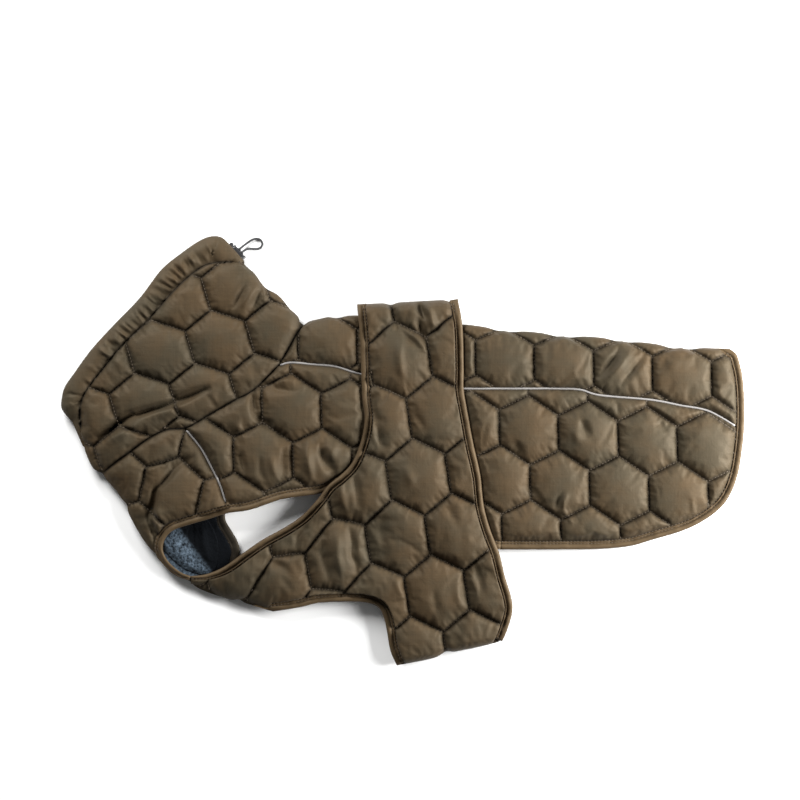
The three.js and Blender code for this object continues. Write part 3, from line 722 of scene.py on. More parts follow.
def band_level(points):
    """The height of the belly panel's underside, over the coat and past it."""
    outside = -depth_in(points, coat_outline)
    from_tongue = smooth(points[:, 0], -150, -95)
    over = 1 - smooth(outside, 6, 28)
    return NEAR_LINING + (BAND_UNDER - NEAR_LINING) * over * from_tongue


# Heights
def gape(points):
    """How far the near armhole's upper edge stands open over the far side."""
    mouth = near_armhole[(near_armhole[:, 0] > -206) & (near_armhole[:, 1] > -72)]
    distance, along, _ = nearest(points, mouth)
    length = np.linalg.norm(np.diff(mouth, axis=0), axis=1).sum()
    open_share = np.sin(math.pi * np.clip(along / length * 0.8 + 0.12, 0, 1)) ** 1.2
    uncovered = smooth(depth_in(points, belly_outline), 3, -12)
    return MOUTH_RISE * open_share * np.exp(-((distance / 26) ** 2)) * uncovered


def seam_press(distance, reach=12.0):
    """How much of the padding's rise is left at a distance from a sewn or bound edge."""
    t = 1 - np.clip(distance / reach, 0, 1)
    return np.clip(1 - t**2.6, 0, 1) ** 0.7


PANEL_SEAMS = {
    "side": [collar_seam, back_seam, shoulder_seam, near_lower, hem],
    "back": [collar_seam, back_seam, hem],
    "chest": [collar_seam, shoulder_seam, near_armhole],
    "collar": [collar_seam, casing_seam],
    "casing": [],
}
FAR_SEAMS = {
    **PANEL_SEAMS,
    "side": [collar_seam, back_seam, shoulder_seam, far_lower, hem],
    "chest": [collar_seam, shoulder_seam],
}


def quilt_fields(layer, panel_seams):
    """Each point's rise, puckers, whether it is stitched down, and how much stitches draw it in."""
    count = len(layer.xy)
    rise, gather, pull = np.zeros(count), np.zeros(count), np.zeros(count)
    stitched = np.zeros(count, bool)
    for panel, seams in panel_seams.items():
        here = layer.name == panel
        if panel == "casing" or not here.any():
            continue
        points = layer.xy[here]
        cell, offset, radius = QUILTS[panel].cells(points)
        seam_distance = np.full(len(points), np.inf)
        for seam in seams:
            inset = EDGE_UNDER_TAPE if seam is near_lower or seam is hem or seam is far_lower else 0
            seam_distance = np.minimum(seam_distance, np.maximum(nearest(points, seam)[0] - inset, 0))
        press = seam_press(seam_distance)
        full = 0.86 + 0.28 * chance(cell[:, 0], cell[:, 1])
        rise[here] = cushion(offset) * press * full
        gather[here] = (puckers(cell, offset) + 2.0 * tension_folds(cell, offset)) * press
        stitched[here] = (radius > 0.999) | (seam_distance < 0.3)
        sewn = nearest_of(points, [seam for seam in seams if seam is collar_seam or seam is back_seam])
        pull[here] = np.exp(-((np.minimum((1 - radius) * CELL_HALF, sewn) / 4.5) ** 2))
    return rise, gather, stitched, pull


def casing_rise(points):
    """The gathered casing: a soft tube between the rim and its seam, rippled along it."""
    inset, along, _ = nearest(points, rim)
    share = np.clip(inset / CASING, 0, 1)
    tube = np.sin(math.pi * np.clip(share * 0.9 + 0.1, 0, 1)) ** 0.7
    ripple = np.zeros(len(points))
    for k in range(170):
        # most wide gathers are bunched where the cord is drawn up, and small ones follow the seam
        small = k >= 70
        middle = 40 + 130 * chance(k, 1) if k % 3 and not small else 255 * chance(k, 2)
        slant = (chance(k, 3) - 0.5) * 9
        width = 1.3 + (0.9 if small else 2.6) * chance(k, 4) ** 2
        height = ((0.7 if small else 1.5) + 1.1 * chance(k, 5)) * (-1 if k % 2 else 0.8)
        from_seam = 0.9 if small else 0.5 + 0.5 * chance(k, 6)
        reach = 0.2 if small else 0.25 + 0.45 * chance(k, 7)
        across = (along - middle - slant * (share - 0.5)) / width
        ripple += height * np.exp(-(across**2)) * np.exp(-(((share - from_seam) / reach) ** 2))
    return tube, ripple * np.clip(np.sin(math.pi * share), 0, 1) ** 0.4


# Main creases, listed one by one: each row is [x, y] to [x, y], then width and height in mm
CREASES = [
    (-274, 12, -244, 33, 3.6, -4.4), (-248, 31, -212, 41, 3.6, -4.8), (-218, 39, -170, 58, 4.2, -3.6),
    (-264, 8, -226, 31, 5.5, 2.4), (-226, 31, -186, 44, 6.0, 2.2),
    (-154, 127, -141, 150, 3.5, -1.6), (-137, 125, -126, 149, 3.5, -1.8), (-145, 128, -133, 148, 3.5, 1.3),
    (-133, 54, -132, 32, 4.0, -3.0), (-132, 32, -117, 18, 4.5, -3.2), (-117, 18, -104, 10, 4.0, -2.2),
    (-85, 8, -82, -22, 5.0, 2.6), (-74, 2, -62, -20, 5.5, -3.0), (-60, 8, -66, -10, 5.0, 1.6),
    (-146, 0, -140, -20, 3.5, -1.6), (-128, -4, -124, -28, 3.5, -1.5), (-118, -2, -112, -26, 3.5, 1.3),
    (-106, 4, -106, -22, 3.0, -1.3), (-128, 58, -95, 53, 5.0, -1.5), (-124, 66, -96, 62, 4.0, 1.0),
    (-156, 22, -146, 6, 3.0, -1.4), (-150, 26, -142, 14, 2.5, 1.0),
    (86, 40, 92, 25, 3.0, -1.1), (177, 68, 196, 92, 3.5, -2.0), (184, 64, 205, 90, 3.5, 1.6),
    (196, 62, 215, 84, 3.5, -1.8), (160, 30, 168, 12, 4.5, -2.0), (152, 22, 160, 6, 5.0, 1.3),
    (147, -38, 144, -52, 2.5, 1.6), (144, -52, 152, -64, 2.5, 1.4), (141, -40, 139, -52, 2.5, -1.2),
    (100, 12, 108, -6, 4.0, -1.0), (228, 30, 240, 14, 4.0, -1.0), (110, -24, 128, -50, 4.5, -1.1),
    (-215, -20, -188, -4, 5.0, -1.4), (-236, -20, -208, -2, 5.0, 1.4), (-221, -88, -229, -60, 3.2, -4.2),
    (-229, -62, -222, -32, 3.6, -4.6), (-223, -36, -203, -14, 3.8, -3.0), (-218, -74, -222, -46, 6.0, 2.0),
]
BELLY_CREASES = [
    (-8, 133, -4, 110, 3.0, -3.2), (-4, 110, 18, 90, 3.5, -1.8), (-2, 100, 1, 62, 4.0, 1.6),
    (14, 134, 22, 118, 4.0, -3.6), (14, 118, 22, 98, 3.5, -3.0), (22, 130, 31, 108, 4.0, 1.8),
    (8, 106, 26, 84, 3.0, 1.4), (-27, 60, -22, 20, 3.5, -2.2), (-22, 20, -18, 3, 3.0, -1.8),
    (-32, 40, -26, 14, 4.0, 1.4), (-56, 0, -50, -60, 5.0, 1.8), (-64, -14, -60, -56, 4.5, -1.8),
    (-42, -8, -38, -52, 4.5, -1.6), (-70, -76, -66, -118, 4.5, -1.8), (-58, -72, -54, -114, 4.5, 2.0),
    (-46, -70, -40, -112, 5.0, -1.8), (-86, -64, -98, -90, 4.0, -1.3), (2, -10, 12, -34, 5.0, 1.2),
    (40, -46, 52, -70, 4.5, -1.3), (28, -120, 34, -150, 5.0, -1.6), (48, -116, 56, -146, 5.0, 1.3),
    (-124, -96, -104, -106, 4.0, -1.2), (-18, -60, -14, -96, 5.0, -1.4), (66, -100, 74, -130, 4.5, -1.2),
    (10, 40, 22, 16, 4.0, -1.0), (-8, -108, 2, -134, 4.5, 1.2),
]


def creased(points, rows):
    """The rise of soft troughs and ridges that are listed one by one."""
    total = np.zeros(len(points))
    for x0, y0, x1, y1, width, height in rows:
        line = curved([(x0, y0), ((x0 + x1) / 2 + (y1 - y0) * 0.05, (y0 + y1) / 2), (x1, y1)], 3.0)
        distance, along, _ = nearest(points, line)
        length = math.hypot(x1 - x0, y1 - y0)
        ends = np.sin(math.pi * np.clip(0.08 + 0.84 * along / length, 0, 1))
        total += 1.35 * height * ends * np.exp(-((distance / (0.8 * width)) ** 2))
    return total


def settled(xyz, triangles, pinned, sizes, frames=22):
    """Lets the padding swell the cloth between its stitches, with a little more cloth than room."""
    scale = 10.0
    mesh = bpy.data.meshes.new("swelling")
    mesh.from_pydata((xyz * MM * scale).tolist(), [], triangles.tolist())
    cloth_object = bpy.data.objects.new("swelling", mesh)
    bpy.context.scene.collection.objects.link(cloth_object)
    group = cloth_object.vertex_groups.new(name="stitched")
    group.add(np.flatnonzero(pinned).tolist(), 1.0, "REPLACE")
    modifier = cloth_object.modifiers.new("Cloth", "CLOTH")
    cloth = modifier.settings
    cloth.quality = 5
    cloth.mass = 0.15
    cloth.tension_stiffness = cloth.compression_stiffness = 18
    cloth.shear_stiffness = 6
    cloth.bending_stiffness = 0.08
    cloth.air_damping = 3
    cloth.vertex_group_mass = "stitched"
    cloth.shrink_min = cloth.shrink_max = -sizes.slack
    cloth.use_pressure = True
    cloth.uniform_pressure_force = sizes.pressure
    cloth.effector_weights.gravity = 0
    modifier.collision_settings.use_collision = False
    modifier.collision_settings.use_self_collision = False
    modifier.point_cache.frame_start = 1
    modifier.point_cache.frame_end = frames
    scene = bpy.context.scene
    for frame_number in range(1, frames + 1):
        scene.frame_set(frame_number)
    shaped = cloth_object.evaluated_get(bpy.context.evaluated_depsgraph_get()).data
    moved_to = np.zeros(len(xyz) * 3)
    shaped.vertices.foreach_get("co", moved_to)
    result = moved_to.reshape(-1, 3) / (MM * scale)
    bpy.data.objects.remove(cloth_object)
    bpy.data.meshes.remove(mesh)
    scene.frame_set(1)
    step = result - xyz
    length = np.linalg.norm(step, axis=1)[:, None]
    cap = 5.0
    return xyz + step * np.minimum(1, cap / np.maximum(length, 1e-9))


# How wide the padded cloth slopes down to each fold, and how sharply: row [fold, width, power]
NEAR_SLOPES = [
    (rim, 13, 0.5), (collar_front, 26, 0.7), (chest_fold, 36, 0.75), (spine, 12, 0.5), (collar_back, 13, 0.5),
]
BELLY_SLOPES = [(band_top, 9, 0.5), (tongue_fold, 32, 0.7), (band_bottom, 9, 0.5)]


def sloped(points, rows):
    """The share of its height that padded cloth has near its folds, 0 on them."""
    share = np.ones(len(points))
    for fold, width, power in rows:
        t = np.clip(nearest(points, fold)[0] / width, 0, 1)
        share = np.minimum(share, (1 - (1 - t) ** 2) ** power)
    return share


def scalloped(layer, pull):
    """How far each point near a fold is drawn in where stitches cross the fold."""
    drawn = 2.0 * pull * np.exp(-((layer.fold / 7) ** 2)) * smooth(nearest(layer.xy, hem)[0], 8, 20)
    drawn[~np.isfinite(layer.fold)] = 0
    return layer.inward * drawn[:, None]


@functools.cache
def near_skin():
    """The outer cloth of the near layer, from above."""
    sizes = bpy.context.scene.coat_sizes
    layer = near_coat()
    rise, gather, stitched, pull = quilt_fields(layer, PANEL_SEAMS)
    in_casing = layer.name == "casing"
    tube, ripple = casing_rise(layer.xy)
    height = NEAR_STITCH + sizes.loft / MM * rise + 0.55 * gather
    height[in_casing] = (NEAR_STITCH + 4.0 * tube + 1.0 * ripple)[in_casing]
    creases = creased(layer.xy, CREASES) * np.where(in_casing, 0, np.clip(rise * 2 + 0.25, 0, 1))
    height += creases
    beside_band = -depth_in(layer.xy, belly_outline)
    lid = NEAR_PRESSED + 1.0 * np.maximum(beside_band, 0) ** 0.9
    height = np.minimum(height, lid)
    piped = np.minimum(nearest(layer.xy, back_seam)[0], nearest(layer.xy, shoulder_seam)[0])
    height -= 1.0 * np.exp(-((piped / 1.6) ** 2))
    height = FOLD_MIDDLE + (height - FOLD_MIDDLE) * sloped(layer.xy, NEAR_SLOPES)
    shift = scalloped(layer, pull)
    xyz = np.column_stack([layer.xy + shift, height])
    edge = np.zeros(len(xyz), bool)
    edge[boundary(layer.triangles)] = True
    pinned = stitched | edge | in_casing | (layer.fold < 3.2) | (beside_band < 1.0)
    xyz = settled(xyz, layer.triangles, pinned, sizes)
    xyz[:, 2] += CREASE_KEPT * creases * sloped(layer.xy, NEAR_SLOPES)
    xyz[:, 2] = np.minimum(xyz[:, 2], np.where(beside_band < 20, lid + 1.5, 99))
    return finished(near_coat_fine(), layer, xyz, stitched, ["side", "back", "chest", "collar"])


def finished(fine, layer, xyz, stitched, panels):
    """The settled cloth on twice as fine a mesh, with the gathers of single stitches."""
    edge = np.zeros(len(xyz), bool)
    edge[boundary(layer.triangles)] = True
    result = fine.rounded(xyz, stitched | edge)
    for panel in panels:
        here = fine.name == panel
        cell, offset, _ = QUILTS[panel].cells(fine.xy[here])
        free = np.clip(fine.fold[here] / ROLL, 0, 1)
        result[here, 2] += 0.75 * needle_puckers(cell, offset) * free
    if layer is near_coat():
        result[:, 2] += fine.spread(gape(layer.xy))
    return result


@functools.cache
def belly_skin():
    sizes = bpy.context.scene.coat_sizes
    layer = belly_layer()
    rise, gather, stitched, pull = quilt_fields(layer, {"belly": [band_front, band_lower, band_rear]})
    level = band_level(layer.xy)
    height = level + BAND_WALL + sizes.loft / MM * rise + 0.55 * gather
    creases = creased(layer.xy, BELLY_CREASES) * np.clip(rise * 2 + 0.35, 0, 1)
    height += creases
    height = FOLD_MIDDLE + (height - FOLD_MIDDLE) * sloped(layer.xy, BELLY_SLOPES)
    xyz = np.column_stack([layer.xy + scalloped(layer, pull), height])
    edge = np.zeros(len(xyz), bool)
    edge[boundary(layer.triangles)] = True
    xyz = settled(xyz, layer.triangles, stitched | edge | (layer.fold < 3.2), sizes)
    xyz[:, 2] += CREASE_KEPT * creases * sloped(layer.xy, BELLY_SLOPES)
    return finished(belly_layer_fine(), layer, xyz, stitched, ["belly"])


@functools.cache
def far_skin():
    """The outer cloth of the far layer, pressed flat where it lies on the surface."""
    layer = far_coat()
    rise, gather, _, pull = quilt_fields(layer, FAR_SEAMS)
    in_casing = layer.name == "casing"
    tube, ripple = casing_rise(layer.xy)
    rise[in_casing] = tube[in_casing]
    flat = np.clip(rise * 1.5, 0, 1)
    height = FAR_STITCH * (1 - flat) + 0.25 * (gather + 1) * (1 - flat) + 0.02
    height[in_casing] += (0.4 * (ripple + 1.6))[in_casing] * (1 - flat[in_casing] * 0.6)
    over_band = smooth(depth_in(layer.xy, far_band_outline), -7, 0)
    height = height + (FAR_OVER_BAND + 0.1 - height) * over_band
    height = np.clip(height, 0.02, FAR_LINING - 1.2)
    height = layer.rolled(height, FOLD_MIDDLE)
    return np.column_stack([layer.xy + scalloped(layer, pull), height])


# Meshes
def boundary(triangles):
    """The points on the edge of a sheet of triangles."""
    starts, ends = open_edges(triangles)
    return np.unique(np.concatenate([starts, ends]))


def open_edges(triangles):
    """Edges with no neighbour, in the direction of their own triangle."""
    edges = np.concatenate([triangles[:, [0, 1]], triangles[:, [1, 2]], triangles[:, [2, 0]]])
    big = int(triangles.max()) + 1
    keys = edges[:, 0].astype(np.int64) * big + edges[:, 1]
    backs = edges[:, 1].astype(np.int64) * big + edges[:, 0]
    alone = ~np.isin(keys, backs)
    return edges[alone, 0], edges[alone, 1]


def painted_seam_share(points, panel):
    """How much painted shade darkens the cloth along the rows of stitches at each point, from 0 to 1."""
    distance = np.full(len(points), np.inf)
    if panel != "belly":
        distance = nearest_of(points, [collar_seam, casing_seam, back_seam, shoulder_seam])
    if panel != "casing":
        cell, offset, radius = QUILTS[panel].cells(points)
        side, way, along, _ = beside_seam(offset)
        # the painted shade has teeth, following each stitch's gather of the cloth
        teeth = 1 + 0.75 * needle_wave(cell, side, way, along)
        distance = np.minimum(distance, (1 - radius) * CELL_HALF / teeth)
    return np.exp(-((distance / 1.35) ** 2))


def make_piece(name, points, faces, materials, face_slots=None, painted_groove_shade=None):
    """A smooth-shaded mesh object that rides on the coat's body; points are in millimetres."""
    mesh = bpy.data.meshes.new(name)
    mesh.from_pydata((np.asarray(points) * MM).tolist(), [], [list(map(int, f)) for f in faces])
    for material in materials:
        mesh.materials.append(material)
    if face_slots is not None:
        mesh.polygons.foreach_set("material_index", np.asarray(face_slots, np.int32))
    # the painted shade along the stitches goes on the mesh as a point attribute
    if painted_groove_shade is not None:
        mesh.attributes.new("painted_groove_shade", "FLOAT", "POINT").data.foreach_set("value", painted_groove_shade.astype(np.float32))
    mesh.shade_smooth()
    mesh.update()
    piece = bpy.data.objects.new(name, mesh)
    bpy.context.scene.collection.objects.link(piece)
    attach(piece, BODY)
    return piece


def lining_of(layer, height):
    """The inner cloth of a layer, which turns back inside its folds."""
    fold = np.where(np.isfinite(layer.fold), layer.fold, 99)
    back = np.clip(3.6 * (1 - fold / 12), 0, None)
    t = np.clip(fold / ROLL, 0, 1)
    lift = np.sqrt(np.clip(1 - (1 - t) ** 2, 0, 1))
    level = FOLD_MIDDLE + (height - FOLD_MIDDLE) * lift
    return np.column_stack([layer.xy + layer.inward * back[:, None], level])


def shell(skins):
    """Closes skins and their linings into one body; rows are (outer, inner, triangles, faces up)."""
    outer, inner, faces = [], [], []
    first = 0
    for outside, lining, triangles, upward in skins:
        used, again = np.unique(triangles, return_inverse=True)
        local = again.reshape(triangles.shape) + first
        faces.append(local if upward else local[:, ::-1])
        outer.append(outside[used])
        inner.append(lining[used])
        first += len(used)
    outer, inner, faces = np.concatenate(outer), np.concatenate(inner), np.concatenate(faces)
    if len(skins) > 1:
        # points on a shared fold lie on each other, and become one
        keys = np.round(outer / 0.02).astype(np.int64)
        _, kept, same = np.unique(keys, axis=0, return_index=True, return_inverse=True)
        same = same.reshape(-1)
        outer, inner, faces = outer[kept], inner[kept], same[faces]
        keep = (faces[:, 0] != faces[:, 1]) & (faces[:, 1] != faces[:, 2]) & (faces[:, 2] != faces[:, 0])
        faces = faces[keep]
    starts, ends = open_edges(faces)
    count = len(outer)
    walls = np.column_stack([ends, starts, starts + count, ends + count])
    back = faces[:, ::-1] + count
    polygons = [*faces.tolist(), *walls.tolist(), *back.tolist()]
    slots = np.concatenate([np.zeros(len(faces) + len(walls)), np.ones(len(back))])
    return np.concatenate([outer, inner]), polygons, slots


def ringed(rings, count, outward=True):
    """The faces of a closed body of rings with count points each."""
    faces = []
    for k in range(rings - 1):
        for i in range(count):
            a, b = k * count + i, k * count + (i + 1) % count
            faces.append((a, b, b + count, a + count) if outward else (a, a + count, b + count, b))
    last = (rings - 1) * count
    start, end = tuple(range(count)), tuple(range(last, last + count))
    return [*faces, start[::-1], end] if outward else [*faces, start, end[::-1]]


def swept(line, sections, levels):
    """A closed strip along a line, with a section of rows [inset, height] and a level at each point."""
    sides = left_of(line)
    rings = [
        (x + sides[k, 0] * inset, y + sides[k, 1] * inset, levels[k] + height)
        for k, (x, y) in enumerate(line)
        for inset, height in sections[k]
    ]
    return np.array(rings), ringed(len(line), len(sections[0]))


def tube(path, radius, sides=10):
    """A closed round tube along points [x, y, z]."""
    ahead = np.gradient(path, axis=0)
    ahead /= np.linalg.norm(ahead, axis=1)[:, None]
    across = np.cross(ahead, (0, 0, 1.0))
    across /= np.linalg.norm(across, axis=1)[:, None]
    up = np.cross(across, ahead)
    turns = np.linspace(0, 2 * math.pi, sides, endpoint=False)
    rings = path[:, None] + radius * (
        np.cos(turns)[None, :, None] * across[:, None] + np.sin(turns)[None, :, None] * up[:, None]
    )
    return rings.reshape(-1, 3), ringed(len(path), sides, outward=False)


def stitches(middles, directions, length, radius):
    """Thread showing between needle holes: a low spindle for each stitch."""
    directions = directions / np.linalg.norm(directions, axis=1)[:, None]
    across = np.cross(directions, (0, 0, 1.0))
    across /= np.linalg.norm(across, axis=1)[:, None]
    up = np.cross(across, directions)
    rows = ((-0.5, 0.45, -0.6), (-0.28, 1.0, 0.0), (0.28, 1.0, 0.0), (0.5, 0.45, -0.6))
    sides = 6
    points = []
    for along, wide, high in rows:
        for turn in np.linspace(0, 2 * math.pi, sides, endpoint=False):
            points.append(
                middles + directions * along * length
                + across * math.cos(turn) * wide * radius
                + up * (math.sin(turn) * wide + high) * radius
            )
    points = np.stack(points, axis=1)
    count = points.shape[1]
    faces = ringed(len(rows), sides, outward=False)
    every = [tuple(k * count + i for i in face) for k in range(len(middles)) for face in faces]
    return points.reshape(-1, 3), every


# Materials
def add_node(tree, kind, values=(), links=(), **settings):
    """Adds a node with its settings, socket values and incoming links (socket: (node, output))."""
    node = tree.nodes.new(kind)
    for key, value in settings.items():
        setattr(node, key, value)
    for key, value in dict(values).items():
        node.inputs[key].default_value = value
    for key, (source, output) in dict(links).items():
        tree.links.new(source.outputs[output], node.inputs[key])
    return node


def new_material(name, **values):
    """A material with one surface shader, and its node tree, shader and object coordinates."""
    material = bpy.data.materials.new(name)
    material.use_nodes = True
    tree = material.node_tree
    tree.nodes.clear()
    shader = add_node(tree, "ShaderNodeBsdfPrincipled", {k.replace("_", " "): v for k, v in values.items()})
    add_node(tree, "ShaderNodeOutputMaterial", links={"Surface": (shader, "BSDF")})
    place = add_node(tree, "ShaderNodeTexCoord")
    return material, tree, shader, place


def pitch(size):
    """The wave texture's scale for bands that repeat every size metres."""
    return 2 * math.pi / (20 * size)


def opaque(colour):
    return (*colour, 1.0)


@functools.cache
def satin_nylon():
    """Calendered nylon taffeta, woven and piece-dyed: a soft satin gloss, faint threads and fine crumples,
    with painted shade along the rows of stitches.
    """
    colours = bpy.context.scene.coat_colours
    material, tree, shader, place = new_material(
        "satin_nylon_taffeta", Roughness=0.64, IOR=1.53, Specular_IOR_Level=0.26,
        Specular_Tint=opaque(colours.nylon_gleam), Sheen_Weight=0.02, Sheen_Roughness=0.4,
    )
    patches = add_node(
        tree, "ShaderNodeTexNoise", {"Scale": 26.0, "Detail": 3.0, "Roughness": 0.55},
        {"Vector": (place, "Object")},
    )
    share = add_node(
        tree, "ShaderNodeMapRange", {"From Min": 0.36, "From Max": 0.64}, {"Value": (patches, "Fac")}
    )
    two_tone = mixed(tree, share, "Result", colours.nylon, colours.nylon_brown)
    # threads are 0.1 mm apart, too fine to show, so they are drawn as uneven streaks 1.5 mm wide
    threads = []
    across, along = THREADS_ACROSS, THREADS_ALONG
    for scale in ((across, along, along), (along, across, along)):
        drawn_out = add_node(tree, "ShaderNodeMapping", {"Scale": scale}, {"Vector": (place, "Object")})
        threads.append(add_node(
            tree, "ShaderNodeTexNoise", {"Scale": 1.0, "Detail": 2.0}, {"Vector": (drawn_out, "Vector")}
        ))
    weave = add_node(
        tree, "ShaderNodeMath", links={0: (threads[0], "Fac"), 1: (threads[1], "Fac")}, operation="ADD"
    )
    streaks = add_node(
        tree, "ShaderNodeMapRange", {"From Min": 0.9, "From Max": 1.3, "To Max": 0.17},
        {"Value": (weave, "Value")},
    )
    threaded = mixed(tree, streaks, "Result", colours.nylon, colours.nylon_streak_and_painted_shade)
    tree.links.new(two_tone.outputs[2], threaded.inputs[6])
    # painted shade: the cloth is darkened along the rows of stitches, standing in for the shade in their
    # grooves
    painted_groove_shade = add_node(tree, "ShaderNodeAttribute", attribute_name="painted_groove_shade")
    groove_shaded = mixed(tree, painted_groove_shade, "Fac", colours.nylon, colours.nylon_streak_and_painted_shade)
    tree.links.new(threaded.outputs[2], groove_shaded.inputs[6])
    tree.links.new(groove_shaded.outputs[2], shader.inputs["Base Color"])
    crumple = add_node(
        tree, "ShaderNodeTexNoise",
        {"Scale": 120.0, "Detail": 4.0, "Roughness": 0.6, "Distortion": 1.2},
        {"Vector": (place, "Object")},
    )
    fine = add_node(
        tree, "ShaderNodeBump", {"Strength": 0.13, "Distance": 0.0004}, {"Height": (weave, "Value")}
    )
    bump = add_node(
        tree, "ShaderNodeBump", {"Strength": 0.3, "Distance": 0.0009},
        {"Height": (crumple, "Fac"), "Normal": (fine, "Normal")},
    )
    tree.links.new(bump.outputs["Normal"], shader.inputs["Normal"])
    return material


def mixed(tree, source, output, first, second):
    """A mix of two colours by a factor; its colour is output 2."""
    node = tree.nodes.new("ShaderNodeMix")
    node.data_type = "RGBA"
    node.inputs[6].default_value = opaque(first)
    node.inputs[7].default_value = opaque(second)
    tree.links.new(source.outputs[output], node.inputs[0])
    return node


@functools.cache
def ribbed_tape(name="ribbed_nylon_tape", inner=False):
    """Folded nylon grosgrain: dull, darker than the cloth, with ribs across it, and near black with painted
    shade on the far armhole's faces that look up into the coat.
    """
    colours = bpy.context.scene.coat_colours
    material, tree, shader, place = new_material(
        name, Roughness=0.6, IOR=1.53, Specular_IOR_Level=0.3,
        Specular_Tint=opaque(colours.nylon_gleam), Sheen_Weight=0.03, Sheen_Roughness=0.4,
    )
    worn = add_node(
        tree, "ShaderNodeTexNoise", {"Scale": 60.0, "Detail": 4.0}, {"Vector": (place, "Object")}
    )
    # painted shade on the faces that look up into the coat
    tones = (colours.tape_painted_shade, colours.nylon_streak_and_painted_shade) if inner else (colours.tape, colours.nylon_brown)
    colour = mixed(tree, worn, "Fac", *tones)
    tree.links.new(colour.outputs[2], shader.inputs["Base Color"])
    ribs = add_node(
        tree, "ShaderNodeTexNoise", {"Scale": 900.0, "Detail": 2.0, "Distortion": 0.4},
        {"Vector": (place, "Object")},
    )
    bump = add_node(
        tree, "ShaderNodeBump", {"Strength": 0.35, "Distance": 0.0004}, {"Height": (ribs, "Fac")}
    )
    tree.links.new(bump.outputs["Normal"], shader.inputs["Normal"])
    return material


@functools.cache
def brushed_fleece():
    """Polyester fleece, knitted and brushed: no gloss, a mottled pile with a soft edge of light; painted
    light on the chest's curled front, and a near-black ground as painted shade elsewhere.
    """
    colours = bpy.context.scene.coat_colours
    material, tree, shader, place = new_material(
        "brushed_polyester_fleece", Roughness=0.95, Specular_IOR_Level=0.04, Sheen_Weight=0.02,
        Sheen_Roughness=0.6,
    )
    clumps = add_node(
        tree, "ShaderNodeTexNoise", {"Scale": 420.0, "Detail": 5.0, "Roughness": 0.65},
        {"Vector": (place, "Object")},
    )
    contrast = add_node(
        tree, "ShaderNodeMapRange", {"From Min": 0.35, "From Max": 0.7}, {"Value": (clumps, "Fac")}
    )
    # painted light: the pile is lighter on the chest's curled front, where light falls, and the rest keeps
    # the near-black ground as painted shade
    aside = add_node(
        tree, "ShaderNodeVectorMath", {1: (*CURL_AHEAD, 0.0)}, {0: (place, "Object")}, operation="DOT_PRODUCT"
    )
    painted_light_share = add_node(
        tree, "ShaderNodeMapRange", {"From Min": -0.2015, "From Max": -0.2085}, {"Value": (aside, "Value")}
    )
    mottle_and_painted_light = add_node(
        tree, "ShaderNodeMath", links={0: (contrast, "Result"), 1: (painted_light_share, "Result")}, operation="MULTIPLY"
    )
    colour = mixed(tree, mottle_and_painted_light, "Value", colours.fleece, colours.fleece_pile_painted_light)
    tree.links.new(colour.outputs[2], shader.inputs["Base Color"])
    bump = add_node(
        tree, "ShaderNodeBump", {"Strength": 0.9, "Distance": 0.0012}, {"Height": (clumps, "Fac")}
    )
    tree.links.new(bump.outputs["Normal"], shader.inputs["Normal"])
    return material


@functools.cache
def reflective_tape():
    """Glass-bead reflective fabric over a cord: light grey, with a fine grain and a cool gleam."""
    colours = bpy.context.scene.coat_colours
    material, tree, shader, place = new_material(
        "glass_bead_reflective_fabric", Roughness=0.45, Specular_IOR_Level=0.5, Metallic=0.1,
    )
    grain = add_node(
        tree, "ShaderNodeTexNoise", {"Scale": 1400.0, "Detail": 2.0}, {"Vector": (place, "Object")}
    )
    colour = mixed(tree, grain, "Fac", colours.piping, colours.piping_shade)
    tree.links.new(colour.outputs[2], shader.inputs["Base Color"])
    bump = add_node(
        tree, "ShaderNodeBump", {"Strength": 0.25, "Distance": 0.0002}, {"Height": (grain, "Fac")}
    )
    tree.links.new(bump.outputs["Normal"], shader.inputs["Normal"])
    return material


@functools.cache
def moulded_acetal():
    """Black acetal, injection moulded: smooth with a low gloss and slight sink marks."""
    colours = bpy.context.scene.coat_colours
    material, tree, shader, place = new_material("moulded_black_acetal", Roughness=0.36, IOR=1.48)
    shader.inputs["Base Color"].default_value = opaque(colours.plastic)
    sink = add_node(tree, "ShaderNodeTexNoise", {"Scale": 220.0}, {"Vector": (place, "Object")})
    bump = add_node(
        tree, "ShaderNodeBump", {"Strength": 0.12, "Distance": 0.0004}, {"Height": (sink, "Fac")}
    )
    tree.links.new(bump.outputs["Normal"], shader.inputs["Normal"])
    return material


@functools.cache
def braided_elastic():
    """Polyester-covered rubber cord, braided: black and dull, with the braid's small knuckles."""
    colours = bpy.context.scene.coat_colours
    material, tree, shader, place = new_material(
        "braided_elastic_cord", Roughness=0.8, Sheen_Weight=0.3, Sheen_Roughness=0.5
    )
    shader.inputs["Base Color"].default_value = opaque(colours.elastic)
    braid = add_node(
        tree, "ShaderNodeTexWave", {"Scale": pitch(0.0009), "Distortion": 1.5},
        {"Vector": (place, "Object")}, bands_direction="DIAGONAL",
    )
    bump = add_node(
        tree, "ShaderNodeBump", {"Strength": 0.6, "Distance": 0.0004}, {"Height": (braid, "Fac")}
    )
    tree.links.new(bump.outputs["Normal"], shader.inputs["Normal"])
    return material


@functools.cache
def spun_thread():
    """Spun polyester sewing thread: dull, and a little lighter than the cloth it holds down."""
    colours = bpy.context.scene.coat_colours
    material, tree, shader, place = new_material("spun_polyester_thread", Roughness=0.7, IOR=1.5)
    ply = add_node(
        tree, "ShaderNodeTexNoise", {"Scale": 700.0, "Detail": 1.0}, {"Vector": (place, "Object")}
    )
    colour = mixed(tree, ply, "Fac", colours.thread, colours.tape)
    tree.links.new(colour.outputs[2], shader.inputs["Base Color"])
    return material


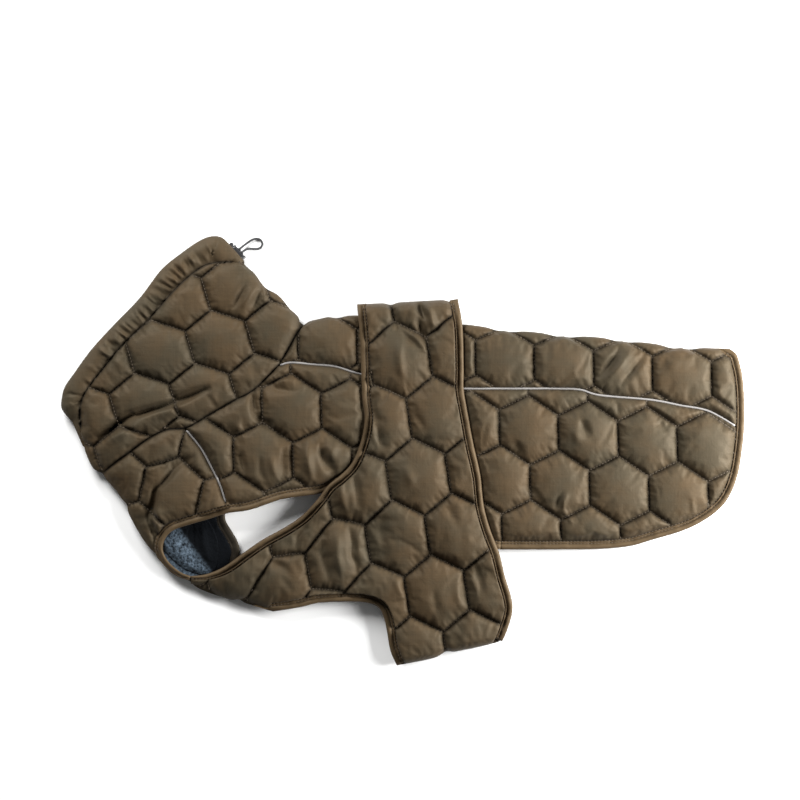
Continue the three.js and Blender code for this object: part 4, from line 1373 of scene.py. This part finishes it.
@functools.cache
def matt_board():
    """White board, painted matt: even and pale, with a grain too fine to gleam."""
    colours = bpy.context.scene.coat_colours
    material, tree, shader, place = new_material("matt_painted_board", Roughness=0.9, IOR=1.45)
    shader.inputs["Base Color"].default_value = opaque(colours.floor)
    grain = add_node(
        tree, "ShaderNodeTexNoise", {"Scale": 300.0, "Detail": 2.0}, {"Vector": (place, "Object")}
    )
    bump = add_node(
        tree, "ShaderNodeBump", {"Strength": 0.03, "Distance": 0.0005}, {"Height": (grain, "Fac")}
    )
    tree.links.new(bump.outputs["Normal"], shader.inputs["Normal"])
    return material


# Settings that a user would change
class CoatSizes(bpy.types.PropertyGroup):
    loft: FloatProperty(
        name="Loft", description="How far a cell's padding rises over its stitches",
        default=0.007, min=0.0, unit="LENGTH",
    )
    slack: FloatProperty(
        name="Slack", description="Share by which the cloth is longer than what it is stitched to",
        default=0.02, min=0.0, max=0.2, subtype="FACTOR",
    )
    pressure: FloatProperty(
        name="Pressure", description="How hard the padding presses on the cloth", default=0.8, min=0.0,
    )
    stitch_pitch: FloatProperty(
        name="Stitch pitch", description="From one stitch to the next", default=0.0031, min=0.001,
        unit="LENGTH",
    )
    stitch_length: FloatProperty(
        name="Stitch length", description="Thread that shows in a stitch", default=0.0023, min=0.0005,
        unit="LENGTH",
    )
    thread_radius: FloatProperty(
        name="Thread radius", description="Half the sewing thread's width", default=0.0004, min=0.0001,
        unit="LENGTH",
    )
    piping_radius: FloatProperty(
        name="Piping radius", description="Half the reflective piping's width", default=0.00095,
        min=0.0003, unit="LENGTH",
    )
    cord_radius: FloatProperty(
        name="Cord radius", description="Half the elastic drawcord's width", default=0.00105,
        min=0.0003, unit="LENGTH",
    )


def colour_setting(label, what, text):
    return FloatVectorProperty(
        name=label, description=what, default=linear(text), subtype="COLOR", size=3, min=0.0, max=1.0
    )


class CoatColours(bpy.types.PropertyGroup):
    nylon: colour_setting("Nylon", "The cloth's olive tone", "#332d22")
    nylon_brown: colour_setting("Nylon, brown", "The cloth's warmer tone", "#3b2f20")
    # painted shade: the darkened seams and the far tape's shaded faces take this colour, which also darkens
    # the weave's streaks
    nylon_streak_and_painted_shade: colour_setting("Nylon, stitched", "The cloth where stitches press it together", "#17130e")
    nylon_gleam: colour_setting("Nylon, gleam", "The tint of the cloth's satin gloss", "#ecd9bc")
    tape: colour_setting("Tape", "The edge bindings", "#4a3c2a")
    # painted shade: the far armhole's binding where it looks up into the coat
    tape_painted_shade: colour_setting("Tape, inside", "The far armhole's binding, inside the coat", "#0e0d0c")
    # painted shade and light: the fleece's ground is near black as painted shade, and its pile shows only
    # where light is painted on the chest's curled front
    fleece: colour_setting("Fleece", "The lining's ground", "#06080b")
    fleece_pile_painted_light: colour_setting("Fleece tips", "The lining's brushed pile", "#56636f")
    piping: colour_setting("Piping", "The reflective piping", "#8d8a87")
    piping_shade: colour_setting("Piping, shade", "The grain of the reflective piping", "#6b6866")
    plastic: colour_setting("Plastic", "The cord lock", "#1a1a1b")
    elastic: colour_setting("Elastic", "The drawcord", "#1f1f21")
    thread: colour_setting("Thread", "The sewing thread", "#40372a")
    floor: colour_setting("Floor", "The surface that the coat lies on", "#f4f4f3")


# Trims
# Rows of a folded tape's section: [share of its width, height over its underside]
NEAR_TAPE = [
    (0.08, 0.2), (0.0, 1.3), (0.0, 2.5), (0.07, 3.6), (0.2, 4.25), (0.38, 4.3), (0.5, 3.8), (0.58, 2.9),
    (0.64, 2.2), (0.7, 2.9), (0.77, 3.35), (0.83, 3.1), (0.88, 2.3), (0.93, 1.9), (0.98, 1.9), (0.93, 0.2),
]
FAR_TAPE = [
    (0.93, -3.4), (0.73, -3.1), (0.5, -3.7), (0.2, -3.6), (0.03, -2.8), (0.0, -1.7), (0.05, -0.7),
    (0.22, -0.1), (0.5, 0.0), (0.68, -0.3), (0.74, -0.5), (0.82, -0.2), (0.95, -0.3), (1.0, -0.8),
    (0.93, -1.2),
]


def carried_on(line, by):
    """A line drawn out straight past its end."""
    ahead = (line[-1] - line[-2]) / np.linalg.norm(line[-1] - line[-2])
    return np.concatenate([line, [line[-1] + ahead * d for d in np.arange(2, by + 0.1, 2)]])


def bound_edge(line, widths, levels, rows, folds, fence):
    """A folded tape along a bound edge, which stays inside a fence and goes round the folds it meets."""
    widths = np.broadcast_to(widths, len(line))
    along = np.arange(len(line))
    ripple = 0.35 * np.sin(along * 1.9) * np.sin(along * 0.37 + 1) + 0.25 * np.sin(along * 0.83)
    section = []
    for k in range(len(line)):
        rings = [(share * widths[k], height + ripple[k] * (0.3 < share < 0.9)) for share, height in rows]
        section.append(rings)
    points, faces = swept(line, section, levels)
    past = ~inside(points, fence)
    points[past, :2] = nearest(points[past], np.concatenate([fence, fence[:1]]))[2]
    distance = np.full(len(points), np.inf)
    for fold in folds:
        distance = np.minimum(distance, nearest(points, fold)[0])
    t = np.clip(distance / (OUTER_ROLL if rows is NEAR_TAPE else ROLL), 0.06, 1)
    points[:, 2] = FOLD_MIDDLE + (points[:, 2] - FOLD_MIDDLE) * np.sqrt(1 - (1 - t) ** 2)
    return points, faces


def painted_shade_slots(faces, count):
    """The second material, with painted shade, for the faces of a far tape that look up into the coat."""
    first, last = 5, 13
    return [1 if len(face) == 4 and first <= face[0] % count <= last else 0 for face in faces]


def sewn_rows(line, insets, widths, levels, height):
    """The places and directions of stitches in rows along a bound edge."""
    sizes = bpy.context.scene.coat_sizes
    places, ways = [], []
    for inset in insets:
        row = moved(line, inset * np.broadcast_to(widths, len(line)))
        path = spaced(np.column_stack([row, levels + height]), sizes.stitch_pitch / MM)
        places.append((path[:-1] + path[1:]) / 2)
        ways.append(np.diff(path, axis=0))
    return np.concatenate(places), np.concatenate(ways)


def quilting_rows(layer, skin, panels, hidden):
    """The places and directions of the stitches that show on a quilted layer."""
    sizes = bpy.context.scene.coat_sizes
    step = sizes.stitch_pitch / MM
    tree = kdtree.KDTree(len(skin))
    for i, (x, y) in enumerate(layer.xy):
        tree.insert((x, y, 0), i)
    tree.balance()
    low, high = layer.xy.min(axis=0), layer.xy.max(axis=0)
    places, ways = [], []
    for panel in panels:
        quilt = QUILTS[panel]
        starts, ends = quilt.seams(low - 30, high + 30)
        length = np.linalg.norm(quilt.place(ends) - quilt.place(starts), axis=1).mean()
        count = round(length / step)
        for k in range(count):
            before, middle, after = (
                quilt.place(starts + (ends - starts) * share / count) for share in (k, k + 0.5, k + 1)
            )
            names = panel_of(middle) if panel != "belly" else np.full(len(middle), "belly")
            kept = names == panel
            places.append(middle[kept])
            ways.append((after - before)[kept])
    places, ways = np.concatenate(places), np.concatenate(ways)
    kept = ~hidden(places)
    places, ways = places[kept], ways[kept]
    made, turned = [], []
    for place, way in zip(places, ways):
        _, index, distance = tree.find((place[0], place[1], 0))
        if distance < 1.6:
            drawn = skin[index, :2] - layer.xy[index]
            made.append((place[0] + drawn[0], place[1] + drawn[1], skin[index, 2]))
            turned.append((way[0], way[1], 0.0))
    return np.array(made), np.array(turned)


def cut_size(*layers_and_names):
    """The flat width, length and area of a panel's cut, opened out, in metres."""
    areas, boxes = 0.0, []
    for layer, name in layers_and_names:
        here = layer.names == name
        areas += layer.area[here].sum()
        used = layer.xy[np.unique(layer.triangles[here])]
        boxes.append(used.max(axis=0) - used.min(axis=0))
    width = max(b[0] for b in boxes) * MM
    length = sum(b[1] for b in boxes) * MM
    return (width, length), areas * MM * MM


def panel_shell(name, near=True, far=True, far_hole=None):
    """A coat panel's near and far cloth as one body, joined where it is folded."""
    skins = []
    if near:
        layer = near_coat_fine()
        chosen = layer.triangles[layer.names == name]
        lining = lining_of(layer, NEAR_LINING)
        lining[:, 2] += layer.spread(gape(near_coat().xy))
        skins.append((near_skin(), lining, chosen, True))
    if far:
        layer = far_coat()
        chosen = layer.triangles[layer.names == name]
        if far_hole is not None:
            middle = layer.xy[chosen].mean(axis=1)
            chosen = chosen[~inside(middle, far_hole)]
        skins.append((far_skin(), lining_of(layer, FAR_LINING), chosen, False))
    return shell(skins)


def dress(piece, slot, *nodes):
    """Hides the CAD parts that a piece stands for, and gives the piece back."""
    if nodes:
        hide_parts(*nodes)
    return piece


def state_sheet(piece, node, held, *cuts):
    """Hides a quilted panel's CAD node, and works out the flat size of its cut."""
    dress(piece, "quilted_nylon", node)
    flat, area = cut_size(*cuts)


def add_panel(name, near=True, far=True, far_hole=None):
    panel = name.split("_")[0]
    points, faces, slots = panel_shell(panel, near, far, far_hole)
    cloths = [satin_nylon(), brushed_fleece()]
    return make_piece(name, points, faces, cloths, slots, painted_seam_share(points, panel))


def lock_space():
    """The corner of the collar's far side that makes room for the cord lock."""
    low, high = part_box("cord_lock")
    low, high = np.array(low) / MM, np.array(high) / MM
    middle = (low + high)[:2] / 2
    along = np.array([math.cos(LOCK_TURN), math.sin(LOCK_TURN)])
    across = np.array([-along[1], along[0]])
    return np.array([
        middle + along * 13 - across * 4.6, middle + along * 13 + across * 16,
        middle - along * 14 + across * 16, middle - along * 14 - across * 4.6,
    ])


class COAT_OT_stage(bpy.types.Operator):
    """Makes the floor, the lights and the camera"""

    bl_idname = "coat.stage"
    bl_label = "Stage"

    def execute(self, context):
        scene = context.scene
        mesh = bpy.data.meshes.new("floor")
        half, drop = 3.0, -0.0003
        corners = [(-half, -half, drop), (half, -half, drop), (half, half, drop), (-half, half, drop)]
        mesh.from_pydata(corners, [], [(0, 1, 2, 3)])
        mesh.materials.append(matt_board())
        floor = bpy.data.objects.new("floor", mesh)
        scene.collection.objects.link(floor)
        lights = (
            ("key", (0.82, 0.04, 0.36), 0.45, 31.5),
            ("side", (-0.55, 0.85, 0.58), 0.5, 23.0),
        )
        for name, place, size, power in lights:
            light = bpy.data.lights.new(name, "AREA")
            light.size = size
            light.energy = power
            lamp = bpy.data.objects.new(name, light)
            lamp.location = place
            lamp.rotation_euler = (-Vector(place)).to_track_quat("-Z", "Y").to_euler()
            scene.collection.objects.link(lamp)
        world = bpy.data.worlds.new("studio")
        world.use_nodes = True
        world.node_tree.nodes["Background"].inputs["Color"].default_value = (1, 1, 1, 1)
        world.node_tree.nodes["Background"].inputs["Strength"].default_value = 0.13
        scene.world = world
        scene.view_settings.view_transform = "Standard"
        # the photo's frame is 720 mm across at the coat, and looks straight down
        camera_data = bpy.data.cameras.new("camera")
        camera_data.lens = 85
        camera_data.sensor_width = 36
        across = 0.72
        coat_middle = 0.012
        away = across * camera_data.lens / camera_data.sensor_width
        camera = bpy.data.objects.new("camera", camera_data)
        camera.location = (-0.00225, 0.0457, coat_middle + away)
        scene.collection.objects.link(camera)
        scene.camera = camera
        return {"FINISHED"}


class COAT_OT_drawcord(bpy.types.Operator):
    """Makes the elastic drawcord's loop"""

    bl_idname = "coat.drawcord"
    bl_label = "Drawcord"

    def execute(self, context):
        sizes = context.scene.coat_sizes
        path = curved(CORD_ROUTE, 0.9) * MM
        curve = bpy.data.curves.new("drawcord", "CURVE")
        curve.dimensions = "3D"
        curve.bevel_depth = sizes.cord_radius
        curve.bevel_resolution = 4
        spline = curve.splines.new("POLY")
        spline.points.add(len(path) - 1)
        for point, place in zip(spline.points, path):
            point.co = (*place, 1.0)
        curve.materials.append(braided_elastic())
        cord = bpy.data.objects.new("drawcord_loop", curve)
        context.scene.collection.objects.link(cord)
        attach(cord, BODY)
        dress(cord, "black_elastic", "drawcord")
        return {"FINISHED"}


class COAT_OT_collar(bpy.types.Operator):
    """Makes the quilted collar"""

    bl_idname = "coat.collar"
    bl_label = "Collar"

    def execute(self, context):
        piece = add_panel("collar_cloth", far_hole=lock_space())
        state_sheet(piece, "collar", "folded", (near_coat(), "collar"), (far_coat(), "collar"))
        return {"FINISHED"}


class COAT_OT_casing(bpy.types.Operator):
    """Makes the gathered casing along the rim"""

    bl_idname = "coat.casing"
    bl_label = "Casing"

    def execute(self, context):
        piece = add_panel("casing_cloth", far_hole=lock_space())
        dress(piece, "quilted_nylon", "drawcord_casing")
        flat, area = cut_size((near_coat(), "casing"), (far_coat(), "casing"))
        return {"FINISHED"}


class COAT_OT_back(bpy.types.Operator):
    """Makes the quilted back panel"""

    bl_idname = "coat.back"
    bl_label = "Back panel"

    def execute(self, context):
        piece = add_panel("back_cloth")
        state_sheet(piece, "back_panel", "folded", (near_coat(), "back"), (far_coat(), "back"))
        return {"FINISHED"}


class COAT_OT_sides(bpy.types.Operator):
    """Makes the quilted side panels"""

    bl_idname = "coat.sides"
    bl_label = "Side panels"

    def execute(self, context):
        state_sheet(add_panel("side_cloth_near", far=False), "side_panel_near", "laid", (near_coat(), "side"))
        state_sheet(add_panel("side_cloth_far", near=False), "side_panel_far", "laid", (far_coat(), "side"))
        return {"FINISHED"}


class COAT_OT_chest(bpy.types.Operator):
    """Makes the quilted chest panel and the fleece that shows inside it"""

    bl_idname = "coat.chest"
    bl_label = "Chest panel"

    def execute(self, context):
        piece = add_panel("chest_cloth")
        state_sheet(piece, "chest_panel", "folded", (near_coat(), "chest"), (far_coat(), "chest"))
        return {"FINISHED"}


class COAT_OT_lining(bpy.types.Operator):
    """Makes the fleece that shows inside the armhole"""

    bl_idname = "coat.lining"
    bl_label = "Chest lining"

    def execute(self, context):
        outline = curved([*LINING, LINING[0]], 2.0)[:-1]
        low, high = outline.min(axis=0), outline.max(axis=0)
        x, y = np.meshgrid(np.arange(low[0], high[0], 1.15), np.arange(low[1], high[1], 1.15))
        grid = np.stack([x.ravel(), y.ravel()], axis=1)
        uneven = np.stack([chance(grid[:, 0], grid[:, 1]), chance(grid[:, 1], grid[:, 0])], axis=1)
        grid += (uneven - 0.5) * 0.5
        grid = grid[depth_in(grid, outline) > 0.8]
        edges = [(i, (i + 1) % len(outline)) for i in range(len(outline))]
        flat = [Vector(p) for p in np.concatenate([outline, grid]).tolist()]
        made = geometry.delaunay_2d_cdt(flat, edges, [], 1, 0.01, False)
        xy = np.array([tuple(v) for v in made[0]])
        triangles = np.array([f for f in made[2] if len(f) == 3])
        # the front of the chest curls up in a roll over the rest
        curl = smooth(xy @ CURL_AHEAD, -201, -208) * smooth(xy[:, 1], -52, -66)
        edge = np.clip(depth_in(xy, outline) / 5, 0, 1)
        height = FAR_LINING + 0.45 + 2.6 * curl * edge + creased(xy, LINING_CREASES) * edge
        height += (chance(xy[:, 0] * 3, xy[:, 1] * 7) - 0.5) * 0.45
        underside = np.full(len(xy), FAR_LINING - 0.9)
        points, faces, slots = shell([
            (np.column_stack([xy, height]), np.column_stack([xy, underside]), triangles, True)
        ])
        piece = make_piece("chest_fleece", points, faces, [brushed_fleece(), brushed_fleece()], slots)
        dress(piece, "fleece_lining", "chest_lining")
        return {"FINISHED"}


class COAT_OT_belly(bpy.types.Operator):
    """Makes the quilted belly panel and the far side of its band"""

    bl_idname = "coat.belly"
    bl_label = "Belly panel"

    def execute(self, context):
        layer = belly_layer_fine()
        level = layer.spread(band_level(belly_layer().xy))
        points, faces, slots = shell([(belly_skin(), lining_of(layer, level), layer.triangles, True)])
        cloths = [satin_nylon(), brushed_fleece()]
        piece = make_piece("belly_cloth", points, faces, cloths, slots, painted_seam_share(points, "belly"))
        state_sheet(piece, "belly_panel", "laid", (layer, "belly"))
        layer = far_band()
        rise, _, _, pull = quilt_fields(layer, {"belly": [band_lower, band_rear]})
        flatness = np.clip(rise * 1.5, 0, 1)
        height = FAR_STITCH * 0.7 * (1 - flatness) + 0.02
        skin = np.column_stack([layer.xy + scalloped(layer, pull), layer.rolled(height, FOLD_MIDDLE - 0.3)])
        past = smooth(-depth_in(layer.xy, coat_outline), 0.5, 7)
        top = FAR_BAND_TOP + (FAR_LINING - FAR_BAND_TOP) * past
        inner = lining_of(layer, top)
        points, faces, slots = shell([(skin, inner, layer.triangles, False)])
        piece = make_piece("belly_cloth_far", points, faces, cloths, slots, painted_seam_share(points, "belly"))
        state_sheet(piece, "belly_band_far", "laid", (layer, "belly"))
        return {"FINISHED"}


class COAT_OT_bindings(bpy.types.Operator):
    """Makes the folded tapes on the bound edges, with their double rows of stitches"""

    bl_idname = "coat.bindings"
    bl_label = "Bindings"

    def execute(self, context):
        sizes = context.scene.coat_sizes
        narrow = tape_width(near_lower) / EDGE_UNDER_TAPE * BINDING
        front_narrow = (tape_width(band_front) / EDGE_UNDER_TAPE * BINDING)[::-1]
        at_near, at_far = NEAR_LINING, FAR_LINING
        coat_folds, band_folds = [chest_fold, spine], [band_top, band_bottom, tongue_fold]
        mouth = at_near + gape(near_lower)
        # tapes go on round the folds that they meet, and the far armhole's starts inside the tongue's
        round_tongue = carried_on(band_lower[::-1], 18)[::-1]
        round_hem = carried_on(hem, 10)
        far_inner = far_lower[5:]
        edges = (
            ("armhole_binding_near", near_lower, narrow, mouth, NEAR_TAPE, coat_folds, coat_outline),
            ("hem_binding_near", round_hem, BINDING, at_near, NEAR_TAPE, coat_folds, coat_outline),
            ("armhole_binding_far", far_inner, BINDING, at_far, FAR_TAPE, coat_folds, whole_outline),
            ("hem_binding_far", round_hem, BINDING, at_far, FAR_TAPE, coat_folds, whole_outline),
            (
                "band_front_binding", band_front, front_narrow, band_level(band_front), NEAR_TAPE, band_folds,
                belly_outline,
            ),
            ("band_lower_binding", round_tongue, BINDING, at_near, NEAR_TAPE, band_folds, belly_outline),
            (
                "band_rear_binding", band_rear, BINDING, band_level(band_rear), NEAR_TAPE, band_folds,
                belly_outline,
            ),
        )
        near_places, near_ways = [], []
        for node, line, widths, level, rows, folds, fence in edges:
            levels = np.broadcast_to(level, len(line)).astype(float)
            points, faces = bound_edge(line, widths, levels, rows, folds, fence)
            if node == "armhole_binding_far":
                # the far armhole's tape takes painted shade on the faces that look up into the coat
                tapes = [ribbed_tape(), ribbed_tape("ribbed_nylon_tape_painted_shade", inner=True)]
                piece = make_piece(node + "_tape", points, faces, tapes, painted_shade_slots(faces, len(rows)))
            else:
                piece = make_piece(node + "_tape", points, faces, [ribbed_tape()])
            dress(piece, "binding_tape", node)
            if rows is NEAR_TAPE:
                places, ways = sewn_rows(line, (0.64, 0.9), widths, levels, 2.35)
                clear = nearest_of(places, folds) > 4
                near_places.append(places[clear])
                near_ways.append(ways[clear])
        places, ways = np.concatenate(near_places), np.concatenate(near_ways)
        points, faces = stitches(places, ways, sizes.stitch_length / MM, sizes.thread_radius / MM)
        piece = make_piece("binding_stitches", points, faces, [spun_thread()])
        dress(piece, "binding_tape")
        return {"FINISHED"}


class COAT_OT_pipings(bpy.types.Operator):
    """Makes the reflective pipings in the back and shoulder seams"""

    bl_idname = "coat.pipings"
    bl_label = "Pipings"

    def execute(self, context):
        radius = context.scene.coat_sizes.piping_radius / MM
        for name, seam, lower, node in (
            ("back_piping", back_seam, hem, "back_piping"),
            ("shoulder_piping", shoulder_seam, near_lower, "shoulder_piping"),
        ):
            line = clear_of(seam, [lower], EDGE_UNDER_TAPE)
            line = clear_of(line, [collar_seam], 1.0)
            for side, height in (("near", 11.1), ("far", radius + 0.15)):
                lifted = gape(line) if side == "near" else 0
                path = np.column_stack([line, height + lifted + np.zeros(len(line))])
                points, faces = tube(path, radius)
                piece = make_piece(f"{name}_cord_{side}", points, faces, [reflective_tape()])
                dress(piece, "reflective_piping", *([node] if side == "near" else []))
        return {"FINISHED"}


class COAT_OT_stitching(bpy.types.Operator):
    """Makes the quilting's stitches"""

    bl_idname = "coat.stitching"
    bl_label = "Stitching"

    def execute(self, context):
        sizes = context.scene.coat_sizes
        length, radius = sizes.stitch_length / MM, sizes.thread_radius / MM

        def off_coat(points):
            seams = nearest_of(points, [collar_seam, casing_seam, back_seam, shoulder_seam])
            edges = nearest_of(points, [near_lower, hem])
            folds = nearest_of(points, NEAR_FOLDS)
            covered = depth_in(points, belly_outline) > 0
            return covered | (seams < 1.6) | (edges < 8.6) | (folds < 1.2) | ~inside(points, coat_outline)

        def off_belly(points):
            edges = nearest_of(points, [band_front, band_lower, band_rear])
            folds = nearest_of(points, [band_top, tongue_fold, band_bottom])
            return (edges < 8.6) | (folds < 1.2) | ~inside(points, belly_outline)

        coat_panels = ["side", "back", "chest", "collar"]
        for name, layer, skin, panels, hidden in (
            ("quilting_stitches", near_coat_fine(), near_skin(), coat_panels, off_coat),
            ("belly_stitches", belly_layer_fine(), belly_skin(), ["belly"], off_belly),
        ):
            places, ways = quilting_rows(layer, skin, panels, hidden)
            places[:, 2] += 0.15
            points, faces = stitches(places, ways, length, radius)
            piece = make_piece(name, points, faces, [spun_thread()])
            dress(piece, "quilted_nylon")
        return {"FINISHED"}


def turned(middle, turn, profile, flutes=0, sides=48):
    """A closed round body about a level axis; profile rows are [along, radius, share of the flutes]."""
    along = np.array([math.cos(turn), math.sin(turn), 0.0])
    across = np.array([-along[1], along[0], 0.0])
    angles = np.linspace(0, 2 * math.pi, sides, endpoint=False)
    rings = []
    for place, radius, fluted in profile:
        reach = radius - fluted * 0.3 * (0.5 - 0.5 * np.cos(flutes * angles)) ** 2
        ring = np.outer(reach * np.cos(angles), across) + np.outer(reach * np.sin(angles), (0, 0, 1.0))
        rings.append(middle + place * along + ring)
    return np.concatenate(rings), ringed(len(profile), sides)


def joined(bodies):
    """Several closed bodies as one mesh."""
    points, faces, first = [], [], 0
    for body, sides in bodies:
        points.append(body)
        faces += [tuple(i + first for i in face) for face in sides]
        first += len(body)
    return np.concatenate(points), faces


class COAT_OT_hardware(bpy.types.Operator):
    """Makes the fluted cord lock, its two cord eyes and its sprung button"""

    bl_idname = "coat.hardware"
    bl_label = "Cord lock"

    def execute(self, context):
        low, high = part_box("cord_lock")
        middle = (np.array(low) + np.array(high)) / 2 / MM
        barrel = turned(middle, LOCK_TURN, LOCK_BARREL, flutes=14, sides=84)
        ends = np.array([CORD_ROUTE[0], CORD_ROUTE[-1]])
        eyes = [turned(end, LOCK_TURN + math.pi / 2, CORD_EYE, sides=24) for end in ends]
        points, faces = joined([barrel, *eyes])
        piece = make_piece("cord_lock_barrel", points, faces, [moulded_acetal()])
        dress(piece, "black_plastic", "cord_lock")
        points, faces = turned(middle, LOCK_TURN, LOCK_BUTTON, flutes=18, sides=72)
        piece = make_piece("cord_lock_plunger", points, faces, [moulded_acetal()])
        dress(piece, "black_plastic", "cord_lock_button")
        return {"FINISHED"}


class COAT_PT_panel(bpy.types.Panel):
    """Lists the coat's pieces"""

    bl_idname = "COAT_PT_panel"
    bl_label = "Dog Coat"
    bl_space_type = "VIEW_3D"
    bl_region_type = "UI"
    bl_category = "Dog Coat"

    def draw(self, context):
        for group in (context.scene.coat_sizes, context.scene.coat_colours):
            for name in group.__annotations__:
                self.layout.prop(group, name)
        for operator in OPERATORS:
            self.layout.operator(operator.bl_idname)


OPERATORS = (
    COAT_OT_stage, COAT_OT_drawcord, COAT_OT_collar, COAT_OT_casing, COAT_OT_back, COAT_OT_sides,
    COAT_OT_chest, COAT_OT_lining, COAT_OT_belly, COAT_OT_bindings, COAT_OT_pipings, COAT_OT_stitching,
    COAT_OT_hardware,
)
CLASSES = (CoatSizes, CoatColours, *OPERATORS, COAT_PT_panel)


def register():
    for each in CLASSES:
        bpy.utils.register_class(each)
    bpy.types.Scene.coat_sizes = PointerProperty(type=CoatSizes)
    bpy.types.Scene.coat_colours = PointerProperty(type=CoatColours)


def unregister():
    del bpy.types.Scene.coat_colours
    del bpy.types.Scene.coat_sizes
    for each in reversed(CLASSES):
        bpy.utils.unregister_class(each)


def main():
    register()
    for operator in OPERATORS:
        getattr(bpy.ops.coat, operator.bl_idname.split(".")[1])()


if __name__ == "__main__":
    main()
